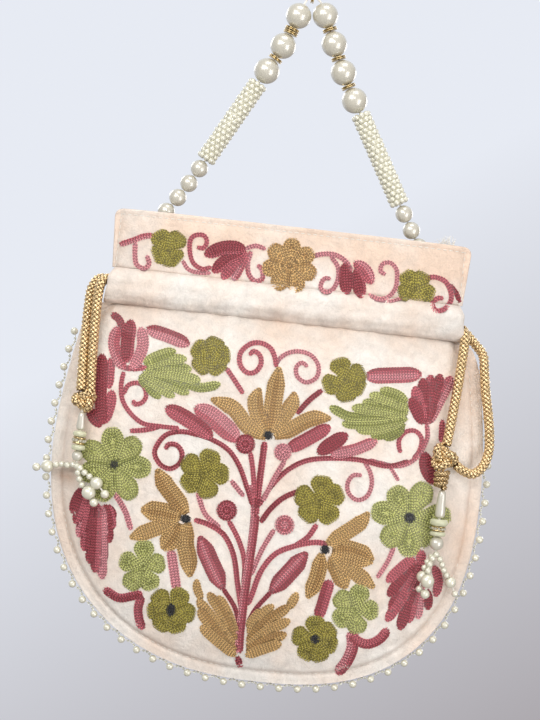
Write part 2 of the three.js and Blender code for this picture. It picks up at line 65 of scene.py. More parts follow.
# Camera, lights and backdrop
view = {
    "tilt": 6.45,  # the photograph leans by this many degrees
    "aim": (-4.5, -66.9),
    "distance": 900.0,
    "lens": 90.0,
}
daylight = (1, 0.985, 0.96)
lightSettings = {  # lamps as soft boxes, in metres and watts
    "keyLight": {
        "place": (-0.55, -0.85, 0.35), "aim": (0, 0, -0.16), "size": (0.7, 0.7),
        "power": 5.7, "colour": daylight,
    },
    "fillLight": {
        "place": (0.7, -0.8, -0.35), "aim": (0, 0, -0.22), "size": (0.6, 0.9),
        "power": 5.6, "colour": (1, 0.97, 0.95),
    },
    "glintLight": {
        "place": (-0.06, -0.95, 0.22), "aim": (0, 0, -0.1), "size": (0.16, 0.16),
        "power": 1.4, "colour": (1, 1, 1),
    },
    "backLeftLight": {
        "place": (-0.66, 0.95, 0.3), "aim": (0, 0, -0.16), "size": (0.45, 0.45),
        "power": 2.6, "colour": daylight,
    },
    "backRightLight": {
        "place": (0.66, 0.95, 0.05), "aim": (0, 0, -0.16), "size": (0.45, 0.45),
        "power": 2.6, "colour": (1, 0.97, 0.95),
    },
    "topLight": {
        "place": (0.05, -0.25, 0.7), "aim": (0, 0, -0.1), "size": (0.5, 0.4),
        "power": 2.2, "colour": (1, 1, 1),
    },
}
backdrop = {  # a plain pale wall that darkens from top left to bottom right
    "topLeft": (0.80, 0.83, 0.90),
    "bottomRight": (0.38, 0.355, 0.375),
    "behindCamera": (0.40, 0.39, 0.38),
}


def addCamera():
    tilt = math.radians(view["tilt"])
    data = bpy.data.cameras.new("camera")
    data.sensor_fit = "VERTICAL"
    data.sensor_height = 36
    data.lens = view["lens"]
    data.clip_start = 0.05
    data.clip_end = 20
    camera = bpy.data.objects.new("camera", data)
    turn = Matrix((
        (math.cos(tilt), -math.sin(tilt), 0),
        (0, 0, -1),
        (math.sin(tilt), math.cos(tilt), 0),
    )).to_4x4()
    place = toFrame((view["aim"][0], -view["distance"], view["aim"][1]))
    camera.matrix_world = Matrix.Translation(Vector(place)) @ turn
    scene.collection.objects.link(camera)
    scene.camera = camera


def addAreaLight(name, place, aim, size, power, colour):
    data = bpy.data.lights.new(name, "AREA")
    data.shape = "RECTANGLE"
    data.size, data.size_y = size
    data.energy = power
    data.color = colour
    light = bpy.data.objects.new(name, data)
    light.location = place
    light.rotation_euler = (Vector(aim) - Vector(place)).to_track_quat("-Z", "Y").to_euler()
    scene.collection.objects.link(light)


def addNode(tree, kind, settings=None, sockets=None):
    made = tree.nodes.new(kind)
    for key, value in (settings or {}).items():
        setattr(made, key, value)
    for key, value in (sockets or {}).items():
        if isinstance(value, bpy.types.NodeSocket):
            tree.links.new(value, made.inputs[key])
        else:
            made.inputs[key].default_value = value
    return made


def addMath(tree, operation, first, second=0.0):
    return addNode(tree, "ShaderNodeMath", {"operation": operation}, {0: first, 1: second}).outputs[0]


def addMix(tree, share, first, second, blend="MIX"):
    kind = {"data_type": "RGBA", "blend_type": blend}
    return addNode(tree, "ShaderNodeMix", kind, {0: share, 6: first, 7: second}).outputs[2]


def addWorld():
    world = bpy.data.worlds.new("studio")
    scene.world = world
    world.use_nodes = True
    tree = world.node_tree
    tree.nodes.clear()
    direction = addNode(tree, "ShaderNodeTexCoord").outputs["Generated"]
    slope = addNode(tree, "ShaderNodeVectorMath", {"operation": "DOT_PRODUCT"}, {
        0: direction, 1: (0.55, 0, -0.83),
    })
    across = addNode(tree, "ShaderNodeMapRange", {"clamp": True}, {
        "Value": slope.outputs["Value"], "From Min": -0.05, "From Max": 0.27,
    })
    front = addMix(tree, across.outputs[0], (*backdrop["topLeft"], 1), (*backdrop["bottomRight"], 1))
    depth = addNode(tree, "ShaderNodeSeparateXYZ", None, {0: direction})
    behind = addNode(tree, "ShaderNodeMapRange", {"clamp": True, "interpolation_type": "SMOOTHSTEP"}, {
        "Value": depth.outputs["Y"], "From Min": 0.75, "From Max": -0.35,
    })
    whole = addMix(tree, behind.outputs[0], front, (*backdrop["behindCamera"], 1))
    background = addNode(tree, "ShaderNodeBackground", None, {"Color": whole, "Strength": 1.0})
    output = addNode(tree, "ShaderNodeOutputWorld")
    tree.links.new(background.outputs[0], output.inputs["Surface"])


addCamera()
addWorld()
for name, values in lightSettings.items():
    addAreaLight(name, **values)
scene.view_settings.view_transform = "Standard"
scene.view_settings.look = "None"
print("stage: camera and light")


# Paths and meshes
def runAlong(points):
    return np.concatenate([[0], np.cumsum(np.linalg.norm(np.diff(points, axis=0), axis=1))])


def resample(points, step):
    points = np.asarray(points, float)
    run = runAlong(points)
    count = max(2, int(round(run[-1] / step)) + 1)
    at = np.linspace(0, run[-1], count)
    return np.stack([np.interp(at, run, points[:, k]) for k in range(points.shape[1])], axis=1)


def smoothRoute(points, step):
    # The centripetal curve through the points, as in the CAD, in even steps
    p = [np.array(q, float) for q in points]
    p = [2 * p[0] - p[1], *p, 2 * p[-1] - p[-2]]
    share = np.linspace(0, 1, 20, endpoint=False)[:, None]
    dense = []
    for a, b, c, d in zip(p, p[1:], p[2:], p[3:]):
        ta, tb, tc = (math.sqrt(np.linalg.norm(v)) for v in (b - a, c - b, d - c))
        m1 = ((b - a) / ta - (c - a) / (ta + tb) + (c - b) / tb) * tb
        m2 = ((c - b) / tb - (d - b) / (tb + tc) + (d - c) / tc) * tb
        square, cube = 3 * c - 3 * b - 2 * m1 - m2, 2 * b - 2 * c + m1 + m2
        dense.append(b + m1 * share + square * share**2 + cube * share**3)
    dense.append(p[-2][None])
    return resample(np.concatenate(dense), step)


def unit(vectors):
    return vectors / np.maximum(np.linalg.norm(vectors, axis=-1, keepdims=True), 1e-9)


def carriedFrames(path, hint=(0.0, -1.0, 0.0)):
    # Tangent, and two directions across it that turn as little as they can along the path
    along = unit(np.gradient(path, axis=0))
    side = np.zeros_like(along)
    last = np.array(hint, float)
    for i, t in enumerate(along):
        last = last - t * (last @ t)
        last = last / max(np.linalg.norm(last), 1e-9)
        side[i] = last
    return along, side, np.cross(along, side)


def addMesh(name, points, faces, material, uv=None, shade=None):
    mesh = bpy.data.meshes.new(name)
    mesh.from_pydata([tuple(p) for p in toFrame(points)], [], faces)
    if uv is not None:
        layer = mesh.uv_layers.new(name="strand")
        corners = np.zeros(len(mesh.loops), int)
        mesh.loops.foreach_get("vertex_index", corners)
        layer.data.foreach_set("uv", np.asarray(uv, np.float32)[corners].ravel())
    if shade is not None:
        colours = np.ones((len(points), 4), np.float32)
        colours[:, :3] = shade
        layer = mesh.color_attributes.new("shade", "FLOAT_COLOR", "POINT")
        layer.data.foreach_set("color", colours.ravel())
    mesh.shade_smooth()
    mesh.materials.append(material)
    obj = bpy.data.objects.new(name, mesh)
    scene.collection.objects.link(obj)
    return obj


def outwardNormals(obj):
    work = bmesh.new()
    work.from_mesh(obj.data)
    bmesh.ops.recalc_face_normals(work, faces=work.faces)
    work.to_mesh(obj.data)
    work.free()


def carry(obj, slot, *nodes):
    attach(obj, "root")
    if nodes:
        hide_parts(*nodes)
    return obj


def tubeFaces(rings, sides):  # of a tube closed at both ends
    faces = []
    for i in range(rings - 1):
        for k in range(sides):
            a, b = i * sides + k, i * sides + (k + 1) % sides
            faces.append((a, b, b + sides, a + sides))
    return [*faces, tuple(range(sides))[::-1], tuple(range((rings - 1) * sides, rings * sides))]


def sweep(path, across, outward, halfWidth, halfHeight, sides):
    # Points, faces and uv of an oval tube. Its uv seam is on the side that faces away from outward.
    angles = np.linspace(0, 2 * math.pi, sides, endpoint=False) - math.pi / 2 + math.pi / sides
    halfWidth = np.broadcast_to(np.asarray(halfWidth, float), len(path))[:, None, None]
    halfHeight = np.broadcast_to(np.asarray(halfHeight, float), len(path))[:, None, None]
    ring = path[:, None] + across[:, None] * np.cos(angles)[:, None] * halfWidth
    ring = ring + outward[:, None] * np.sin(angles)[:, None] * halfHeight
    run = runAlong(path)
    uv = np.stack(np.broadcast_arrays(np.arange(sides) / sides, run[:, None]), axis=-1)
    return ring.reshape(-1, 3), tubeFaces(len(path), sides), uv.reshape(-1, 2)


def joined(parts):
    # One list of points, faces and uv from several
    points, faces, uvs, shift = [], [], [], 0
    for part in parts:
        points.append(part[0])
        faces += [tuple(i + shift for i in face) for face in part[1]]
        uvs.append(part[2] if len(part) > 2 else np.zeros((len(part[0]), 2)))
        shift += len(part[0])
    return np.concatenate(points), faces, np.concatenate(uvs)


def turned(profile, centre, axis, sides=28):
    # A turned piece from [radius, height] pairs along an axis
    axis = unit(np.array(axis, float))
    side = unit(np.cross(axis, (0.0, 1.0, 0.0)) if abs(axis[1]) < 0.9 else np.cross(axis, (1.0, 0.0, 0.0)))
    other = np.cross(axis, side)
    angles = np.linspace(0, 2 * math.pi, sides, endpoint=False)
    wheel = np.cos(angles)[:, None] * side + np.sin(angles)[:, None] * other
    points = np.concatenate([centre + axis * height + wheel * radius for radius, height in profile])
    return points, tubeFaces(len(profile), sides)


def shellFaces(height, width):  # of an outer grid, an inner one after it, and the wall between their borders
    count = height * width
    faces = []
    for i in range(height - 1):
        for k in range(width - 1):
            a = i * width + k
            faces.append((a, a + 1, a + width + 1, a + width))
            faces.append((count + a, count + a + width, count + a + width + 1, count + a + 1))
    border = [*range(width), *[i * width + width - 1 for i in range(1, height)]]
    border += [(height - 1) * width + k for k in range(width - 2, -1, -1)]
    border += [i * width for i in range(height - 2, 0, -1)]
    return faces + [(a, count + a, count + b, b) for a, b in zip(border, border[1:] + border[:1])]


def ballProfile(diameter, hole, bands=16):
    radius = diameter / 2
    start = math.asin(min(0.9, hole / diameter))
    angles = np.linspace(-math.pi / 2 + start, math.pi / 2 - start, bands)
    ball = [(radius * math.cos(a), radius * math.sin(a)) for a in angles]
    top = ball[-1][1]
    rim = hole / 2 * 0.78
    return [(rim, -top + 0.35), (rim, -top + 0.05), *ball, (rim, top - 0.05), (rim, top - 0.35)]


# Materials
palette = {
    "velvet": (0.905, 0.860, 0.808),
    "gold": (0.60, 0.47, 0.25),
    "cordLight": (0.93, 0.70, 0.39),
    "cordCreaseShade": (0.13, 0.062, 0.014),
    "pearl": (0.62, 0.59, 0.50),
    "pearlRim": (0.44, 0.40, 0.28),
    "seedPearl": (0.78, 0.76, 0.62),
    "seedRim": (0.50, 0.48, 0.34),
    "clearSeed": (0.86, 0.86, 0.76),
    "disc": (0.85, 0.86, 0.62),
    "nylon": (0.85, 0.82, 0.76),
    "rose": (0.325, 0.047, 0.064),
    "roseMid": (0.50, 0.118, 0.148),
    "pink": (0.62, 0.255, 0.285),
    "olive": (0.335, 0.285, 0.045),
    "oliveDark": (0.245, 0.205, 0.030),
    "leaf": (0.450, 0.460, 0.165),
    "leafDark": (0.320, 0.335, 0.095),
    "tan": (0.545, 0.350, 0.140),
    "tanDark": (0.430, 0.250, 0.085),
    "black": (0.012, 0.012, 0.016),
}


def napGroup():
    # Shared colour and height from two sizes of noise, in object coordinates
    tree = bpy.data.node_groups.new("nap", "ShaderNodeTree")
    tree.interface.new_socket(name="Tint", in_out="INPUT", socket_type="NodeSocketColor")
    for name in ("Patch scale", "Grain scale", "Patch depth", "Grain depth"):
        tree.interface.new_socket(name=name, in_out="INPUT", socket_type="NodeSocketFloat")
    tree.interface.new_socket(name="Color", in_out="OUTPUT", socket_type="NodeSocketColor")
    tree.interface.new_socket(name="Height", in_out="OUTPUT", socket_type="NodeSocketFloat")
    given = addNode(tree, "NodeGroupInput").outputs
    where = addNode(tree, "ShaderNodeTexCoord").outputs["Object"]
    patch = addNode(tree, "ShaderNodeTexNoise", None, {
        "Vector": where, "Scale": given["Patch scale"], "Detail": 3.0,
    })
    grain = addNode(tree, "ShaderNodeTexNoise", None, {
        "Vector": where, "Scale": given["Grain scale"], "Detail": 4.0, "Roughness": 0.65,
    })
    parts = []
    for noise, depth in ((patch, "Patch depth"), (grain, "Grain depth")):
        swing = addMath(tree, "SUBTRACT", noise.outputs["Fac"], 0.5)
        parts.append(addMath(tree, "MULTIPLY", swing, given[depth]))
    level = addMath(tree, "ADD", addMath(tree, "ADD", *parts), 1.0)
    tinted = addNode(tree, "ShaderNodeVectorMath", {"operation": "SCALE"}, {0: given["Tint"], "Scale": level})
    output = addNode(tree, "NodeGroupOutput")
    tree.links.new(tinted.outputs["Vector"], output.inputs["Color"])
    tree.links.new(grain.outputs["Fac"], output.inputs["Height"])
    return tree


nap = napGroup()


def newMaterial(name, tint, patch, grain, bump, shader, shaded=False):
    # patch and grain are (scale per metre, depth); bump is (strength, distance in metres)
    material = bpy.data.materials.new(name)
    material.use_nodes = True
    tree = material.node_tree
    surface = tree.nodes["Principled BSDF"]
    for key, value in shader.items():
        surface.inputs[key].default_value = value
    group = addNode(tree, "ShaderNodeGroup", {"node_tree": nap}, {
        "Tint": (*tint, 1), "Patch scale": patch[0], "Patch depth": patch[1],
        "Grain scale": grain[0], "Grain depth": grain[1],
    })
    colour = group.outputs["Color"]
    if shaded:
        painted = addNode(tree, "ShaderNodeVertexColor", {"layer_name": "shade"})
        colour = addMix(tree, 1.0, colour, painted.outputs["Color"], "MULTIPLY")
    tree.links.new(colour, surface.inputs["Base Color"])
    raised = addNode(tree, "ShaderNodeBump", None, {
        "Strength": bump[0], "Distance": bump[1], "Height": group.outputs["Height"],
    })
    tree.links.new(raised.outputs["Normal"], surface.inputs["Normal"])
    material.diffuse_color = (*tint, 1)
    return material


velvetSettings = {
    "Roughness": 0.95, "Specular IOR Level": 0.1, "Sheen Weight": 0.35, "Sheen Roughness": 0.45,
    "Sheen Tint": (1.0, 0.96, 0.92, 1),
}
crushedPile = {"scale": 190, "depth": 0.14, "bump": 0.65}
velvetMaterial = newMaterial(
    "velvet", palette["velvet"], (34, 0.10), (1300, 0.30), (0.5, 0.0005), velvetSettings, shaded=True,
)


def addCrushedPile(material, scale, depth, bump):
    # Pile pressed this way and that: cloudy lighter and darker patches in the colour, partly the pile's own tone
    # and partly painted sheen, and a low height that follows it
    tree = material.node_tree
    surface = tree.nodes["Principled BSDF"]
    where = addNode(tree, "ShaderNodeTexCoord").outputs["Object"]
    crush = addNode(tree, "ShaderNodeTexNoise", None, {
        "Vector": where, "Scale": scale, "Detail": 6.0, "Roughness": 0.7, "Distortion": 0.5,
    })
    level = addNode(tree, "ShaderNodeMapRange", None, {
        "Value": crush.outputs["Fac"], "From Min": 0.3, "From Max": 0.7,
        "To Min": 1 - depth, "To Max": 1 + depth * 0.5,
    })
    colour = surface.inputs["Base Color"].links[0].from_socket
    lit = addNode(tree, "ShaderNodeVectorMath", {"operation": "SCALE"}, {0: colour, "Scale": level.outputs[0]})
    tree.links.new(lit.outputs["Vector"], surface.inputs["Base Color"])
    fine = surface.inputs["Normal"].links[0].from_socket
    raised = addNode(tree, "ShaderNodeBump", None, {
        "Strength": bump, "Distance": 0.0016, "Height": crush.outputs["Fac"], "Normal": fine,
    })
    tree.links.new(raised.outputs["Normal"], surface.inputs["Normal"])


addCrushedPile(velvetMaterial, **crushedPile)
threadSettings = {"Roughness": 0.36, "Specular IOR Level": 0.7, "Sheen Weight": 0.2, "Sheen Roughness": 0.4}
threadMaterials = {}
for name in ("rose", "roseMid", "pink", "olive", "oliveDark", "leaf", "leafDark", "tan", "tanDark", "black"):
    threadMaterials[name] = newMaterial(
        f"thread_{name}", palette[name], (110, 0.24), (950, 0.95), (0.25, 0.0002), threadSettings, shaded=True,
    )
pearlSettings = {
    "Roughness": 0.4, "Specular IOR Level": 0.9, "Coat Weight": 1.0, "Coat Roughness": 0.2, "Coat IOR": 2.2,
}


def addRim(material, tint):
    # Nacre is yellower where it turns away, and is painted darker there as painted shade
    tree = material.node_tree
    surface = tree.nodes["Principled BSDF"]
    turn = addNode(tree, "ShaderNodeLayerWeight", None, {"Blend": 0.35})
    colour = surface.inputs["Base Color"].links[0].from_socket
    tree.links.new(addMix(tree, turn.outputs["Facing"], colour, (*tint, 1)), surface.inputs["Base Color"])


pearlMaterial = newMaterial("pearl", palette["pearl"], (60, 0.05), (300, 0.02), (0.01, 0.0001), pearlSettings)
seedMaterial = newMaterial(
    "seedPearl", palette["seedPearl"], (120, 0.10), (500, 0.03), (0.01, 0.0001), pearlSettings,
)
addRim(pearlMaterial, palette["pearlRim"])
addRim(seedMaterial, palette["seedRim"])
clearSeedMaterial = newMaterial("clearSeed", palette["clearSeed"], (300, 0.5), (900, 0.2), (0.05, 0.0001), {
    "Roughness": 0.1, "Transmission Weight": 0.6, "IOR": 1.45,
})
goldMaterial = newMaterial("polishedGold", palette["gold"], (120, 0.12), (700, 0.05), (0.02, 0.00005), {
    "Metallic": 1.0, "Roughness": 0.2,
})
glassMaterial = newMaterial("frostedGlass", palette["disc"], (120, 0.08), (900, 0.06), (0.05, 0.0001), {
    "Roughness": 0.16, "Transmission Weight": 0.35, "IOR": 1.45, "Coat Weight": 0.5,
})
nylonMaterial = newMaterial("nylonThread", palette["nylon"], (200, 0.1), (1500, 0.2), (0.1, 0.0001), {
    "Roughness": 0.35,
})


def braidMaterial():
    # Metallic thread: its own gold where a strand stands out of the braid, with painted shade of dark brown down
    # in the creases
    material = newMaterial("goldBraid", palette["cordLight"], (260, 0.2), (2600, 0.12), (0.1, 0.0001), {
        "Metallic": 0.8, "Roughness": 0.27, "Specular IOR Level": 0.6,
    })
    tree = material.node_tree
    surface = tree.nodes["Principled BSDF"]
    uv = addNode(tree, "ShaderNodeUVMap", {"uv_map": "strand"})
    parts = addNode(tree, "ShaderNodeSeparateXYZ", None, {0: uv.outputs[0]})
    standing = addNode(tree, "ShaderNodeMapRange", {"interpolation_type": "SMOOTHSTEP"}, {
        "Value": parts.outputs["X"], "From Min": 0.30, "From Max": 1.0, "To Min": 0.0, "To Max": 1.0,
    })
    colour = surface.inputs["Base Color"].links[0].from_socket
    mixed = addMix(tree, standing.outputs[0], (*palette["cordCreaseShade"], 1), colour)
    tree.links.new(mixed, surface.inputs["Base Color"])
    ridge = addMath(tree, "SINE", addMath(tree, "MULTIPLY", parts.outputs["Y"], 9.0))
    raised = addNode(tree, "ShaderNodeBump", None, {"Strength": 0.25, "Distance": 0.00012, "Height": ridge})
    tree.links.new(raised.outputs["Normal"], surface.inputs["Normal"])
    return material


braid = braidMaterial()
print("stage: materials")

# Drawcords: the same routes as the CAD's, as braids of eight strands
cordRoutes = {
    "drawcord_left_front": [
        (-86.9, -5.4, -35.8), (-89.6, -5.6, -35.8), (-91.9, -7.6, -38.4), (-92.6, -8.9, -43.5),
        (-92.6, -9.6, -51), (-92.4, -10, -60), (-92, -10.6, -71), (-91.3, -11.8, -82), (-90.6, -12.5, -92),
    ],
    "drawcord_left_back": [
        (-86.9, 5.4, -35.8), (-90.6, 5, -35.5), (-94.3, 1, -36.2), (-96.7, -3.2, -41.2), (-97.1, -5.6, -50),
        (-97, -6.8, -60), (-96.7, -8.2, -71), (-96.1, -10.8, -82), (-95.6, -12.4, -91.9),
    ],
    "drawcord_right_front": [
        (86.9, -5.4, -41.2), (88.9, -5.5, -41.3), (90.3, -7.2, -45.2), (90.2, -8.6, -53), (89.8, -9.5, -61),
        (89.2, -10.6, -71), (88.3, -12, -81), (87.4, -13.8, -90), (86.5, -15, -98.6),
    ],
    "drawcord_right_back": [
        (86.9, 5.4, -41.2), (90.2, 5.3, -41.5), (95.6, 3.4, -46.4), (100.9, -0.8, -52.6), (102, -5.3, -60.6),
        (103.6, -6.4, -70.5), (106.2, -6.5, -82), (108, -6.6, -92), (108.4, -7, -100), (106.2, -9.4, -107.2),
        (101.2, -12.4, -111.6), (96, -14.6, -110.4), (92.2, -15.3, -108),
    ],
}
cordSettings = {
    "diameter": 4.8,
    "pitch": 8.8,  # length of one turn of a strand
    "step": 0.5,
    "strandWidth": 0.90,
    "strandHeight": 0.74,
    "weave": 0.46,  # how far a strand rises and dips
    "sides": 8,
    "hidden": {"step": 1.0, "sides": 5},  # inside the casing
}


def braided(route, diameter, pitch, step=cordSettings["step"], sides=cordSettings["sides"]):
    # Eight strands, four each way, that pass over and under each other along a route
    path = smoothRoute(route, step)
    along, side, other = carriedFrames(path)
    run = runAlong(path)
    scale = diameter / cordSettings["diameter"]
    high, wide = cordSettings["strandHeight"] * scale, cordSettings["strandWidth"] * scale
    lift = cordSettings["weave"] * scale
    middle = diameter / 2 - high - lift / 2
    strands = []
    for turn in (1, -1):
        for start in range(4):
            angle = turn * 2 * math.pi * run / pitch + start * math.pi / 2
            radius = middle + turn * lift * np.cos(8 * math.pi * run / pitch)
            outward = np.cos(angle)[:, None] * side + np.sin(angle)[:, None] * other
            line = path + outward * radius[:, None]
            heading = unit(np.gradient(line, axis=0))
            across = unit(np.cross(heading, outward))
            points, faces, uv = sweep(line, across, outward, wide, high, sides)
            away = np.linalg.norm(points.reshape(len(path), sides, 3) - path[:, None], axis=2).ravel()
            # This measure drives painted shade: the strand is painted dark brown where it lies deep in the braid
            uv[:, 0] = np.clip((away / diameter - 0.30) / 0.22, 0, 1)  # how far out the strand lies here
            strands.append((points, faces, uv))
    return joined(strands)


for name, route in cordRoutes.items():
    points, faces, uv = braided(route, cordSettings["diameter"], cordSettings["pitch"])
    carry(addMesh(f"braid_{name}", points, faces, braid, uv), "gold_cord", name)

# Knots: a braided loop tied on itself, and the collar of turns below the right one
knotSettings = {  # size of the loop, cord, lean, and lift of the knot above its node's middle
    "left": {"loop": (1.6, 1.4, 1.7), "cord": 4.3, "pitch": 7.4, "lean": 20, "lift": 0.6},
    "right": {"loop": (1.85, 1.7, 2.0), "cord": 4.5, "pitch": 7.4, "lean": -35, "lift": 4.7},
}
collarSettings = {"from": -2.4, "to": -10.2, "turns": 3.2, "radius": 2.3, "cord": 2.7, "pitch": 4.6}


def knotRoute(centre, loop, lean):
    t = np.linspace(0, 2 * math.pi, 70)
    lean = math.radians(lean)
    a = (np.sin(t) + 2 * np.sin(2 * t)) * loop[0]
    b = (np.cos(t) - 2 * np.cos(2 * t)) * loop[1]
    x = a * math.cos(lean) - b * math.sin(lean)
    z = a * math.sin(lean) + b * math.cos(lean)
    return np.stack([centre[0] + x, centre[1] + np.sin(3 * t) * loop[2], centre[2] + z], axis=1)[:-1]


knotPieces = {}
for side, values in knotSettings.items():
    centre = centreOf(f"knot_{side}")
    route = knotRoute(centre + (0, 0, values["lift"]), values["loop"], values["lean"])
    parts = [braided(route, values["cord"], values["pitch"])]
    if side == "right":
        t = np.linspace(0, 1, 60)
        turn = t * collarSettings["turns"] * 2 * math.pi
        height = collarSettings["from"] + (collarSettings["to"] - collarSettings["from"]) * t
        radius = collarSettings["radius"] * (1.25 - 0.35 * t)
        coil = centre + np.stack([radius * np.cos(turn), -radius * np.sin(turn), height], axis=1)
        parts.append(braided(coil, collarSettings["cord"], collarSettings["pitch"]))
    points, faces, uv = joined(parts)
    wrap = addMesh(f"knot_wrap_{side}", points, faces, braid, uv)
    knotPieces[side] = carry(wrap, "gold_cord", f"knot_{side}")

for name, route in cordRoutes.items():
    path = smoothRoute(route, 1.0)
    side = "left" if "left" in name else "right"
    tuple(toFrame(route[0]))
    [tuple(p) for p in toFrame(path)]
    [knotPieces[side]] if "front" in name else []
print("stage: drawcords and knots")

# Velvet panels: the CAD's sections, finer, with seams, a rolled flange and soft creases
bag = {
    "wall": 1.8, "gap": 0.3,
    "headingHalfWidth": 89.8, "headingSeam": 86.5, "headingHeight": 29.4, "casingHeight": 18.2,
    "casingStep": 0.8, "sideHeight": 71.4, "bottomHeight": 108.0, "bottomSquareness": 2.45, "bottomShift": 7.0,
    "bodyHalfWidth": 107.6, "bodyFlange": 5.2, "flangeHalf": 1.95, "mouthHalf": 8.8, "neckHalf": 6.3,
    "recessHalf": 7.0, "bodyHalf": 18.0, "notchHalfWidth": 74.3, "boxySquare": 4.0, "bodySquare": 2.4,
    "fullness": 0.6, "corner": 4.2, "columns": {"front": 121, "back": 65},
}
casingTop = -bag["headingHeight"]
casingBottom = casingTop - bag["casingHeight"]
roundTop = casingBottom - bag["sideHeight"]
bodyShares = [  # drop, width, swell, square
    (0, 0.846, 0, 4), (0.05, 0.89, 0.065, 3.8), (0.12, 0.913, 0.15, 3.6), (0.2, 0.932, 0.26, 3.4),
    (0.36, 0.953, 0.46, 3.1), (0.56, 0.974, 0.69, 2.8), (0.78, 0.992, 0.89, 2.55), (1, 1, 1, 2.4),
]


def levelTable():
    # z, edge, seam, half depth and squareness at each level, from the top edge to the round bottom
    seam, boxy = bag["headingSeam"], bag["boxySquare"]
    levels = [(-bag["headingHeight"] * d, bag["headingHalfWidth"] * w, seam, bag["mouthHalf"], boxy)
              for d, w in ((0, 1), (0.5, 0.993), (1, 0.98))]
    step = bag["casingStep"] / bag["casingHeight"]
    for d, half in ((step, "recessHalf"), (0.25, "neckHalf"), (0.75, "neckHalf"), (1 - step, "recessHalf")):
        levels.append((casingTop - bag["casingHeight"] * d, bag["notchHalfWidth"], seam, bag[half], boxy))
    for d, w, swell, square in bodyShares:
        edge = bag["bodyHalfWidth"] * w
        half = bag["mouthHalf"] + (bag["bodyHalf"] - bag["mouthHalf"]) * swell
        levels.append((casingBottom - bag["sideHeight"] * d, edge, edge - bag["bodyFlange"], half, square))
    return np.array(levels)[::-1]


levels = levelTable()


def bottomEdge(angle):
    down = np.sin(angle) ** (2 / bag["bottomSquareness"])
    across = np.abs(np.cos(angle)) ** (2 / bag["bottomSquareness"])
    x = -np.sign(np.cos(angle)) * bag["bodyHalfWidth"] * across + bag["bottomShift"] * down**1.6
    return x, roundTop - bag["bottomHeight"] * down


edgeAngles = np.linspace(0, math.pi, 721)
edgeX, edgeZ = bottomEdge(edgeAngles)
polar = np.arctan2(roundTop - edgeZ, -edgeX)
reach = np.hypot(edgeX, edgeZ - roundTop)


def dished(low, high, share, square):  # half depth of a section, from its seam (share 1) to its middle (0)
    return low + (high - low) * (1 - share**square) ** bag["fullness"]


def plainHalf(x, z):
    # Half depth of the CAD's outer surface at a place on the bag
    x, z = np.asarray(x, float), np.asarray(z, float)
    seam, half, square = (np.interp(z, levels[:, 0], levels[:, k]) for k in (2, 3, 4))
    share = np.minimum(1, np.abs(x) / seam)
    side = dished(bag["flangeHalf"], half, share, square)
    far = np.interp(np.arctan2(roundTop - z, -x), polar, reach)
    away = np.hypot(x, z - roundTop)
    share = np.minimum(1, away / np.maximum(far - bag["bodyFlange"], 1))
    low = dished(bag["flangeHalf"], bag["bodyHalf"], share, bag["bodySquare"])
    return np.where(z < roundTop, low, side)


bodyLevels = levels[levels[:, 0] <= casingBottom + 0.01]
sideZ = np.linspace(casingBottom, roundTop, 90)
sideX = np.interp(sideZ, bodyLevels[:, 0], bodyLevels[:, 1])
outline = np.concatenate([
    np.stack([-sideX, sideZ], 1), np.stack([edgeX, edgeZ], 1)[1:-1:3], np.stack([sideX, sideZ], 1)[::-1],
])
outlineRun = runAlong(outline)


def toEdge(x, z):
    # Distance to the body's edge, and where along the edge the nearest point is
    flat = np.stack([np.ravel(x), np.ravel(z)], 1)
    distance, along = np.empty(len(flat)), np.empty(len(flat))
    for start in range(0, len(flat), 4000):
        block = flat[start:start + 4000]
        gaps = np.linalg.norm(block[:, None] - outline[None], axis=2)
        nearest = gaps.argmin(axis=1)
        distance[start:start + 4000] = gaps[np.arange(len(block)), nearest]
        along[start:start + 4000] = outlineRun[nearest]
    return distance.reshape(np.shape(x)), along.reshape(np.shape(x))


def bell(values, centre, width):
    return np.exp(-(((values - centre) / width) ** 2))


creases = {  # from, to, width and depth of soft folds in the velvet, mm
    "front": [
        ((-88, -50), (-62, -60), 4, -0.7), ((-50, -49), (-40, -60), 3, -0.5),
        ((40, -56), (75, -59), 2.2, -0.8), ((52, -48), (58, -62), 2.5, -0.5),
        ((-95, -112), (-84, -118), 4, -0.6), ((86, -150), (98, -176), 4, -0.6),
        ((60, -205), (84, -196), 4, -0.7), ((-84, -190), (-70, -206), 4, -0.6),
        ((-25, -214), (20, -221), 4, -0.5), ((22, -165), (30, -190), 5, -0.4),
        ((95, -70), (98, -108), 3.5, -0.5), ((-5, -58), (30, -56), 3, -0.4),
        ((-60, -142), (-56, -150), 4, -0.4), ((40, -120), (48, -150), 5, -0.35),
    ],
    "back": [
        ((-80, -50), (-60, -75), 5, -1.0), ((-30, -50), (-24, -80), 5, -0.8),
        ((20, -50), (12, -78), 5, -0.9), ((70, -50), (62, -80), 5, -1.0),
        ((-70, -150), (-20, -170), 9, -0.8), ((10, -190), (60, -160), 9, -0.9),
        ((-90, -110), (-60, -120), 6, -0.7), ((88, -120), (60, -132), 6, -0.7),
    ],
}


